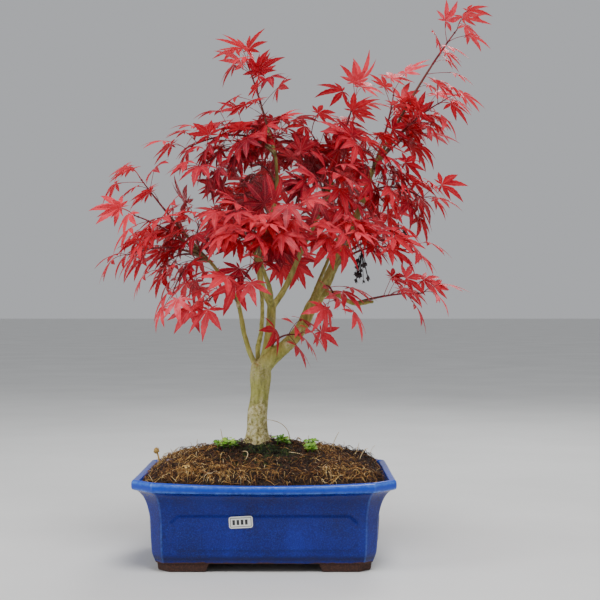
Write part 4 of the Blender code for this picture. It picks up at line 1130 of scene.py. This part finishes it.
def fine_leaf(heap, middle, along, face, reach, tone, dice, droop=0.22):
    """Adds a detailed leaf to the heap."""
    left = face.cross(along)
    reach *= FULLER
    curl, cup, skew = dice.uniform(0.0, 0.16), dice.uniform(0.10, 0.34), dice.uniform(-0.06, 0.06)
    swing = [dice.uniform(-5, 5) for _ in LOBES]
    for number, (turn, share) in enumerate(LOBES):
        gaps = [abs(turn - LOBES[n][0]) for n in (number - 1, number + 1) if 0 <= n < len(LOBES)]
        half_gap = math.tan(math.radians(min(gaps) / 2))
        turn_now = math.radians(turn + swing[number])
        length = reach * share * dice.uniform(0.93, 1.06)
        sweep_side = dice.uniform(-0.10, 0.10) + skew
        points, rib, out, lift = [], [], [], []
        for i in range(STATIONS):
            t = i / (STATIONS - 1)
            r = max(0.0001, t * length)
            angle = turn_now + sweep_side * t * t
            way = along * math.cos(angle) + left * math.sin(angle)
            side = left * math.cos(angle) - along * math.sin(angle)
            lance = LOBE_WIDTH * length * 4.08 * t**0.9 * (1 - t) ** 1.15 * (0.7 + 0.3 * share)
            tooth = 1 + (0.10 if i % 2 else -0.07) * (t > 0.3)
            half = min(lance * tooth + 0.00004, r * half_gap) if t < 0.55 else lance * tooth + 0.00003
            hang = droop * (r / reach) ** 1.6 + curl * (r / reach) ** 3.2
            spine = middle + way * r - face * hang * reach
            for v in (-1, 0, 1):
                points.append(spine + side * half * v + face * half * cup * abs(v))
                rib.append(1.0 - abs(v))
                out.append(t)
        heap.put(points, woven(STATIONS, 3, closed=False), 0, tone=tone, rib=rib, out=out)


# %% [markdown]
# ## Leaf finish
# New maple leaves are scarlet, with a paler rib; here those deep in the crown are painted wine red as shade, and the
# outermost ones reach a pale pink that is a painted highlight. They are thin, so some light comes through: a
# Translucent shader is mixed with the Principled one. The `tone` mark picks the red, with that painted shade and
# highlight in it, `rib` draws the rib and side veins, and noise dapples the blade.

# %% Red leaf
leaf_red, tree = new_finish("red_leaf")
where = place_of(tree)
dapple = spread(tree, cloud(tree, where, 160, 4), 0.28, 0.72, -0.14, 0.14)
tone = plus(tree, mark(tree, "tone"), dapple)
# the darkest stops are painted shade for inner leaves, the palest pink ones a painted highlight for outer ones
colour = ramp(
    tree, tone, (0.04, (70, 8, 26)), (0.26, (134, 14, 40)), (0.48, (190, 28, 52)),
    (0.72, (222, 38, 58)), (0.92, (236, 66, 84)), (1.0, (242, 108, 122)),
)
rib = spread(tree, mark(tree, "rib"), 0.80, 0.98)
waves = plus(tree, times(tree, mark(tree, "out"), 75.0), times(tree, mark(tree, "rib"), 7.0))
veins = spread(tree, sums(tree, "SINE", waves), 0.72, 1.0)
tips = spread(tree, mark(tree, "out"), 0.72, 1.0)
for patch, strength, tint in (
    (veins, 0.16, (232, 110, 110)), (rib, 0.45, (228, 104, 104)), (tips, 0.35, (110, 14, 26)),
):
    colour = blend(tree, times(tree, patch, strength), colour, paint(*tint))
height = plus(tree, times(tree, rib, 0.8), times(tree, veins, 0.3))
solid = coat(tree, colour, 0.48, height, 0.5, 0.0005, Specular_IOR_Level=0.35)
lit_through(tree, 0.24, solid, blend(tree, 0.35, colour, paint(236, 40, 44)))

stalk_red = simple_finish(
    "red_stalk", (300, 3), ((0.1, (74, 16, 24)), (0.5, (138, 26, 40)), (0.9, (190, 62, 64))),
    0.45, (1500, 2), (0.3, 0.0002), ("tone", 0.3, 0.2),
)

# %% [markdown]
# ## Growing the crown
# For every shoot: a red stem, and for every plain leaf a stalk that leaves the stem and bends into a detailed leaf.
# A real crown is fuller than the plain one, so each shoot also gets some leaves at random places along its stem. A
# leaf's tone carries painted light and shade by how deep it sits in the crown: the outermost leaves are painted
# bright and the inner ones painted dark, and the extra leaves get a little more painted shade.

# %% Shoots, stalks and leaves
crown_middle = tree_point(0.10, -0.01, 0.56)
crown_size = Vector((0.42 * TREE_SPREAD, 0.34 * TREE_SPREAD, 0.34 * TREE_HEIGHT))
EXTRA_LEAVES, EXTRA_ON_THE_LEFT = 12, 7
EXTRA_HERE = {
    "spray_right_1": 4, "spray_middle_1": 2, "spray_right_low_1": 5, "spray_front_right_3": 4,
    "spray_middle_left_1": 9,
}
EXTRA_REACH = 0.030
LOWEST_LEAF = 0.298
BAY_LEFT, BAY_RIGHT, BAY_FLOOR = 0.030, 0.150, 0.478
STEM_STEPS = 10
PLAIN_STALK = (0.00052, 0.00040, 0.00036, 0.00034, 0.00033, 0.00034, 0.00038, 0.00030)
EXTRA_STALK = (0.00050, 0.00038, 0.00034, 0.00032, 0.00032, 0.00036, 0.00030)
frame_low, frame_high = frame_box
flower_spots = [box_of(f"dry_flowers_{number}")[2] for number in (1, 2)]
leaves_made = 0


def leaf_light_and_shade(spot, dice):
    """How bright a leaf is painted: painted shade deep inside the crown, painted light outside, and some chance."""
    inside = spot - crown_middle
    depth = Vector((inside.x / crown_size.x, inside.y / crown_size.y, inside.z / crown_size.z)).length
    return max(0.06, min(0.92, 0.18 + 0.46 * min(1.3, depth) + dice.uniform(-0.24, 0.20)))


def in_bay(spot):
    """The crown is open between its left leader and the long limb on the right."""
    return BAY_LEFT < spot.x - TREE_FOOT.x < BAY_RIGHT and spot.z > BAY_FLOOR


def fits(spot):
    return all(frame_low[i] < spot[i] < frame_high[i] for i in range(3))


def covers_flowers(spot):
    return any(
        abs(spot.x - f.x) < 0.032 and abs(spot.z - f.z) < 0.034 and spot.y < f.y + 0.012
        for f in flower_spots
    )


def red_wood(spray, line_of, radii, sides, tone):
    spray.put(*tube(line_of, radii, sides), 1, tone=tone, rib=0.0, out=0.0)


def stalk_and_leaf(spray, stalk, radii, sides, leaf, painted_shade=0.0):
    middle, along, face, reach = leaf
    red_wood(spray, stalk, radii, sides, leaf_dice.uniform(0.3, 0.8))
    # painted light and shade: leaves deep in the crown are painted darker, outer ones brighter
    tone = leaf_light_and_shade(middle + along * reach * 0.5, leaf_dice) - painted_shade
    fine_leaf(spray, middle, along, face, reach, tone, leaf_dice)


def extra_leaf(start, knee, target):
    """Where a leaf leaves its shoot, and the leaf itself, or None where a leaf won't do."""
    t = leaf_dice.uniform(0.30, 0.98)
    root = on_curve(start, knee, target, t)
    ahead = ((knee - start) * (1 - t) + (target - knee) * t).normalized()
    around = Vector([leaf_dice.gauss(0, 1) for _ in range(3)])
    leaving = (around - ahead * around.dot(ahead)).normalized() + ahead * 0.5 + UP * 0.15
    middle = root + leaving.normalized() * leaf_dice.uniform(0.016, 0.034)
    outward = (middle - Vector((crown_middle.x, crown_middle.y, middle.z))).normalized()
    along = (leaving.normalized() + outward * 0.6 - UP * leaf_dice.uniform(0.4, 1.4)).normalized()
    face = outward * 0.9 + UP * 0.8 + Vector([leaf_dice.uniform(-0.45, 0.45) for _ in range(3)])
    face = (face - along * face.dot(along)).normalized()
    reach = EXTRA_REACH * leaf_dice.uniform(0.70, 1.02)
    tip = middle + along * reach * 1.1 - face * reach * 0.3
    in_the_way = covers_flowers(middle) or in_bay(middle) or tip.z < LOWEST_LEAF
    if fits(tip) and fits(middle) and not in_the_way:
        return root, (middle, along, face, reach)
    return None


for name, (start, knee, target, wooden) in shoot_lines.items():
    spray = Heap()
    parts = range(STEM_STEPS + 1)
    shares = [wooden - 0.01 + (1.01 - wooden) * i / STEM_STEPS for i in parts]
    stem = [on_curve(start, knee, target, t) for t in shares]
    red_wood(spray, stem, [0.00125 - 0.00060 * i / STEM_STEPS for i in parts], 8, 0.35)
    for i in (2, 6, 9):
        ahead = (stem[i + 1] - stem[i]).normalized()
        joint = [stem[i] - ahead * 0.0011, stem[i], stem[i] + ahead * 0.0011]
        red_wood(spray, joint, [0.0008, 0.00135, 0.0007], 8, 0.25)
    on_stem = [stem[i].lerp(stem[i + 1], k / 4) for i in range(STEM_STEPS) for k in range(5)]
    for middle, along, face, reach, begin in plain[name]:
        root = min(on_stem, key=lambda p: (p - begin).length)
        leaving = middle - root
        pull = root + leaving * 0.55 + UP * leaving.length * 0.10 - along * leaving.length * 0.12
        leaf = (middle, along, face, reach)
        stalk_and_leaf(spray, bend(root, pull, middle, 7), PLAIN_STALK, 6, leaf)
        leaves_made += 1
    usual = EXTRA_ON_THE_LEFT if name.startswith("spray_left_") else EXTRA_LEAVES
    for _ in range(EXTRA_HERE.get(name, usual)):
        found = extra_leaf(start, knee, target)
        if found:
            root, leaf = found
            stalk = bend(root, root + (leaf[0] - root) * 0.5 + UP * 0.002, leaf[0], 6)
            # the extra leaves get a little more painted shade
            stalk_and_leaf(spray, stalk, EXTRA_STALK, 5, leaf, painted_shade=0.06)
            leaves_made += 1
    spray.piece(name.replace("spray_", "shoot_"), [leaf_red, stalk_red], "red_leaf", (name,))
print("leaves made:", leaves_made)

# %% [markdown]
# ## Small things on the soil
# Moss grows round the foot of the trunk, with a few weed seedlings in it. A moss cushion is a crowd of tiny pointed
# blades, so it is made like the fibres, only shorter, denser and upright.

# %% Green finishes
MOSS_COLOURS = ((0.1, (20, 26, 12)), (0.45, (46, 62, 24)), (0.75, (88, 112, 38)), (1.0, (150, 172, 64)))
moss_green = simple_finish(
    "dark_moss", (260, 3), MOSS_COLOURS, 0.85, (2500, 2), (0.4, 0.0002), ("tone", 0.3, 0.2)
)

weed_green, tree = new_finish("seedling_green")
where = place_of(tree)
tone = plus(tree, mark(tree, "tone"), spread(tree, cloud(tree, where, 420, 3), 0.3, 0.7, -0.2, 0.2))
colour = ramp(tree, tone, (0.1, (66, 116, 24)), (0.5, (124, 186, 44)), (0.95, (184, 226, 88)))
leafy = coat(tree, colour, 0.45, cloud(tree, where, 1500, 2), 0.4, 0.0003)
lit_through(tree, 0.2, leafy, colour)

# %% Moss blades
MOSS_TRIES, MOSS_SPREAD = 15000, 2.0
moss = Heap()
moss_dice = random.Random(8)
moss_low, moss_high, moss_middle = box_of("moss_cushion")
moss_half = (moss_high - moss_low) / 2
for number in range(MOSS_TRIES):
    turn, share = moss_dice.uniform(0, 2 * math.pi), math.sqrt(moss_dice.random()) * MOSS_SPREAD
    x = moss_middle.x + math.cos(turn) * moss_half.x * share
    y = moss_middle.y + (math.sin(turn) - 0.35) * moss_half.y * share
    in_trunk = math.hypot(x - TREE_FOOT.x, y - TREE_FOOT.y) < TRUNK_RADIUS * 0.9
    in_gap = noise.noise(Vector((x, y, 1.0)) * 120) < -0.18 + 0.25 * (share - 0.6)
    if in_trunk or in_gap or not inside_pot(x, y):
        continue
    cushion = 0.0038 * max(0.0, 1 - share**2) + 0.0012 * noise.noise(Vector((x, y, 6.0)) * 240)
    base = Vector((x, y, ground(x, y) + clods(x, y) + cushion - 0.0006))
    lean = Vector((moss_dice.uniform(-1, 1), moss_dice.uniform(-1, 1), 1.5)).normalized()
    tall = moss_dice.uniform(0.0012, 0.0030)
    blade = [base, base + lean * tall * 0.5 + UP * tall * 0.1, base + lean * tall]
    moss.put(*tube(blade, [0.00036, 0.00032, 0.00008], 3), 0, tone=moss_dice.uniform(0.0, 0.62))
moss.piece("moss_blades", [moss_green], "dark_moss", ("moss_cushion",))
print("moss faces:", len(moss.faces))

# %% [markdown]
# A seedling is a short stem with small oval leaves. Each leaf is a folded patch whose outline is a half sine.

# %% Seedlings


def oval_leaf(heap, base, away, face, reach, width, tone):
    left = face.cross(away).normalized()
    points, faces = [], []
    steps = 7
    for i in range(steps + 1):
        t = i / steps
        half = width * reach * math.sin(math.pi * min(1.0, t * 0.96 + 0.02)) ** 0.75
        spine = base + away * reach * t - face * reach * 0.18 * t * t
        for v in (-1, -0.5, 0, 0.5, 1):
            points.append(spine + left * half * v + face * abs(v) * half * 0.22)
    heap.put(points, woven(steps + 1, 5, closed=False), 0, tone=tone)


weed_dice = random.Random(14)
STEMS, STEM_LEAVES = 5, 6
for number in (1, 2, 3):
    low, high, middle = box_of(f"seedling_{number}")
    plant = Heap()
    root = Vector((middle.x, middle.y, low.z - 0.001))
    tall = high.z - low.z
    for twin in range(STEMS):
        beside = Vector((weed_dice.uniform(-0.011, 0.011), weed_dice.uniform(-0.011, 0.005), 0))
        foot = root + beside * (twin > 0)
        tip = foot + Vector((weed_dice.uniform(-0.004, 0.004), -0.003, tall * weed_dice.uniform(0.8, 1.3)))
        stem = bend(foot, foot.lerp(tip, 0.5) + Vector((0.001, 0, 0)), tip, 5)
        plant.put(*tube(stem, [0.0006] * 6, 6), 0, tone=0.3)
        for leaf_number in range(STEM_LEAVES):
            turn = leaf_number * 2.4 + weed_dice.uniform(-0.4, 0.4)
            base = foot.lerp(tip, 0.40 + 0.60 * leaf_number / 6)
            away = Vector((math.cos(turn), math.sin(turn), 0.25)).normalized()
            face = UP + Vector((weed_dice.uniform(-0.5, 0.5), weed_dice.uniform(-0.9, 0.2), 0))
            face = (face - away * away.dot(face)).normalized()
            reach, tone = weed_dice.uniform(0.0052, 0.0076), weed_dice.uniform(0.20, 0.95)
            oval_leaf(plant, base, away, face, reach, 0.46, tone)
    plant.piece(f"weed_{number}", [weed_green], "seedling_green", (f"seedling_{number}",))

# %% [markdown]
# The last small things are a dry stalk with a seed head, a pebble, a curled dead leaf and two bunches of dried
# flowers hanging in the crown. Each takes its place and size from its plain solid.

# %% Dry finishes
straw = simple_finish(
    "dry_straw", (420, 4), ((0.3, (140, 104, 46)), (0.55, (196, 160, 84)), (0.8, (226, 204, 150))),
    0.7, (1500, 3), (0.4, 0.0003),
)
stone = simple_finish(
    "purple_stone", (600, 5), ((0.3, (70, 58, 66)), (0.55, (118, 104, 112)), (0.8, (168, 156, 160))),
    0.6, (1200, 4), (0.5, 0.0004),
)
soot = simple_finish(
    "dried_flower", (700, 4), ((0.3, (12, 8, 10)), (0.6, (30, 18, 20)), (0.85, (66, 34, 34))),
    0.65, (1600, 3), (0.5, 0.0003),
)

# %% Balls with rough skins


def rough_ball(heap, middle, size, bumps, seed, rings=9, sides=14, **marks):
    """A ball of this size (three half-widths) whose skin goes in and out by a share of it."""
    points = []
    for i in range(rings + 1):
        up = math.pi * i / rings
        for k in range(sides):
            turn = 2 * math.pi * k / sides
            way = Vector((math.sin(up) * math.cos(turn), math.sin(up) * math.sin(turn), -math.cos(up)))
            far = 1 + bumps * noise.noise(way * 1.7 + Vector((seed, 0, 0)))
            points.append(middle + Vector((way.x * size[0], way.y * size[1], way.z * size[2])) * far)
    heap.put(points, woven(rings + 1, sides), 0, **marks)


pebble_low, pebble_high, pebble_middle = box_of("pebble")
pebble = Heap()
rough_ball(pebble, pebble_middle, (pebble_high - pebble_low) / 2, 0.18, 4.0, 24, 32)
pebble.piece("pebble_stone", [stone], "purple_stone", ("pebble",))

# %% Stalk with its seed head, and the dead leaf
HUSKS = 46
stalk_low, stalk_high, stalk_middle = box_of("dry_stalk")
stalk_heap = Heap()
foot = Vector((stalk_high.x - 0.0014, stalk_middle.y, stalk_low.z - 0.001))
head = Vector((stalk_low.x + 0.0031, stalk_middle.y, stalk_high.z - 0.0034))
line_of = bend(foot, foot.lerp(head, 0.5) + Vector((0.001, 0, 0.002)), head, 9)
stalk_heap.put(*tube(line_of, [0.00125 - 0.00004 * i for i in range(10)], 9))
rough_ball(stalk_heap, head, (0.0029, 0.0025, 0.0033), 0.35, 2.0, 14, 20)
husk_dice = random.Random(5)
for _ in range(HUSKS):
    way = Vector([husk_dice.gauss(0, 1) for _ in range(3)]).normalized()
    root = head + Vector((way.x * 0.0027, way.y * 0.0023, way.z * 0.0031))
    line_of = [root, root + way * 0.0006 + UP * 0.0002, root + way * 0.0010 + UP * 0.0006]
    stalk_heap.put(*tube(line_of, [0.00038, 0.00028, 0.00006], 4))
stalk_heap.piece("seed_stalk", [straw], "dry_straw", ("dry_stalk",))

dead = Heap()
along, face = Vector((0.8, -0.5, 0.1)).normalized(), Vector((0.1, -0.25, 1.0)).normalized()
fine_leaf(dead, box_of("dead_leaf")[2] + UP * 0.0012, along, face, 0.0105, 0.5, random.Random(6), 0.45)
dead.piece("fallen_leaf", [straw], "dry_straw", ("dead_leaf",))

# %% [markdown]
# The dried flowers are black, wrinkled specks on threads, hanging together. Many small rough balls on thin bent
# tubes read as one bunch.

# %% Dried flowers
FLOWERS = 17
bunch_dice = random.Random(17)
for number in (1, 2):
    low, high, middle = box_of(f"dry_flowers_{number}")
    top = Vector((middle.x, middle.y, high.z - 0.001))
    bunch = Heap()
    bunch.put(*tube([top, top - UP * 0.006, top - UP * 0.010], [0.0006, 0.0007, 0.0006], 6))
    for k in range(FLOWERS):
        spot = Vector([bunch_dice.uniform(low[i] + 0.001, high[i] - 0.001) for i in range(3)])
        spot.z = low.z + (high.z - low.z) * bunch_dice.uniform(0.03, 0.66)
        start = top - UP * bunch_dice.uniform(0.003, 0.009)
        thread = bend(start, start.lerp(spot, 0.5) + UP * 0.003, spot, 6)
        bunch.put(*tube(thread, [0.00032] * 7, 5))
        size = bunch_dice.uniform(0.0013, 0.0024)
        rough_ball(bunch, spot, (size, size * 0.9, size * 1.1), 0.7, k * 3.1, 6, 9)
        for _ in range(3):
            way = Vector([bunch_dice.gauss(0, 1) for _ in range(3)]).normalized()
            line_of = [spot, spot + way * size * 1.1, spot + way * size * 1.9 - UP * 0.0006]
            bunch.put(*tube(line_of, [0.0006, 0.0006, 0.0001], 4))
    bunch.piece(f"flower_bunch_{number}", [soot], "dried_flower", (f"dry_flowers_{number}",))

# %% [markdown]
# ## Studio
# A pale floor, a pale room and three soft lamps: a broad one above and in front for the leaves and the glaze, a
# weaker one from the left, and one from behind that lights the thin leaves through.

# %% Floor and light
floor_finish, tree = new_finish("pale_floor")
colour = ramp(tree, cloud(tree, place_of(tree), 3, 3), (0.3, (214, 214, 212)), (0.7, (224, 224, 222)))
surface(tree, add(tree, "BsdfPrincipled", Base_Color=colour, Roughness=0.75).outputs[0])
FLOOR_HALF, FLOOR_DROP = 40, 0.0002
floor_mesh = bpy.data.meshes.new("floor")
floor_corners = [(x * FLOOR_HALF, y * FLOOR_HALF, 0) for x, y in ((-1, -1), (1, -1), (1, 1), (-1, 1))]
floor_mesh.from_pydata(floor_corners, [], [(0, 1, 2, 3)])
floor_mesh.materials.append(floor_finish)
floor = bpy.data.objects.new("floor", floor_mesh)
floor.location.z = -FLOOR_DROP
bpy.context.scene.collection.objects.link(floor)
floor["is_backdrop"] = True

room = bpy.data.worlds.new("room")
room.use_nodes = True
room.node_tree.nodes["Background"].inputs["Color"].default_value = paint(212, 214, 218)
room.node_tree.nodes["Background"].inputs["Strength"].default_value = 0.70
bpy.context.scene.world = room


def lamp(name, place, aim, size, power):
    light = bpy.data.lights.new(name, "AREA")
    light.shape, light.size, light.energy = "DISK", size, power
    thing = bpy.data.objects.new(name, light)
    thing.location = place
    thing.rotation_euler = (Vector(aim) - Vector(place)).to_track_quat("-Z", "Y").to_euler()
    bpy.context.scene.collection.objects.link(thing)


middle_height = frame_box[1].z / 2
lamp("key", (0.30, -1.0, 2.1), (0, 0, middle_height), 1.0, 40)
lamp("side", (-1.6, -0.7, 0.9), (0, 0, middle_height), 0.9, 13)
lamp("back", (0.5, 1.3, 1.5), (0, 0, middle_height), 0.8, 14)

# %% [markdown]
# ## Camera
# The camera looks level, from 1.3 m in front and a little to the right, just below half the tree's height.

# %% Camera
LENS, SENSOR, VIEW_SHIFT = 70.4, 36.0, 0.018
CAMERA_FROM_POT = Vector((0.038, -1.320, 0.276))
eye = bpy.data.cameras.new("camera")
eye.lens, eye.sensor_width, eye.shift_y = LENS, SENSOR, VIEW_SHIFT
camera = bpy.data.objects.new("camera", eye)
camera.location = POT_MIDDLE + CAMERA_FROM_POT
camera.rotation_euler = (math.radians(90), 0, 0)
bpy.context.scene.collection.objects.link(camera)
bpy.context.scene.camera = camera

# %% [markdown]
# ## The two boxes
# The box of the plain plant and the box of the detailed one are both printed at the end. The detailed plant
# must fill the same box as the plain one.

# %% Sizes
new_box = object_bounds()
for name, box in (("frame:", frame_box), ("visual:", new_box)):
    print(name, [[round(v, 4) for v in corner] for corner in box])
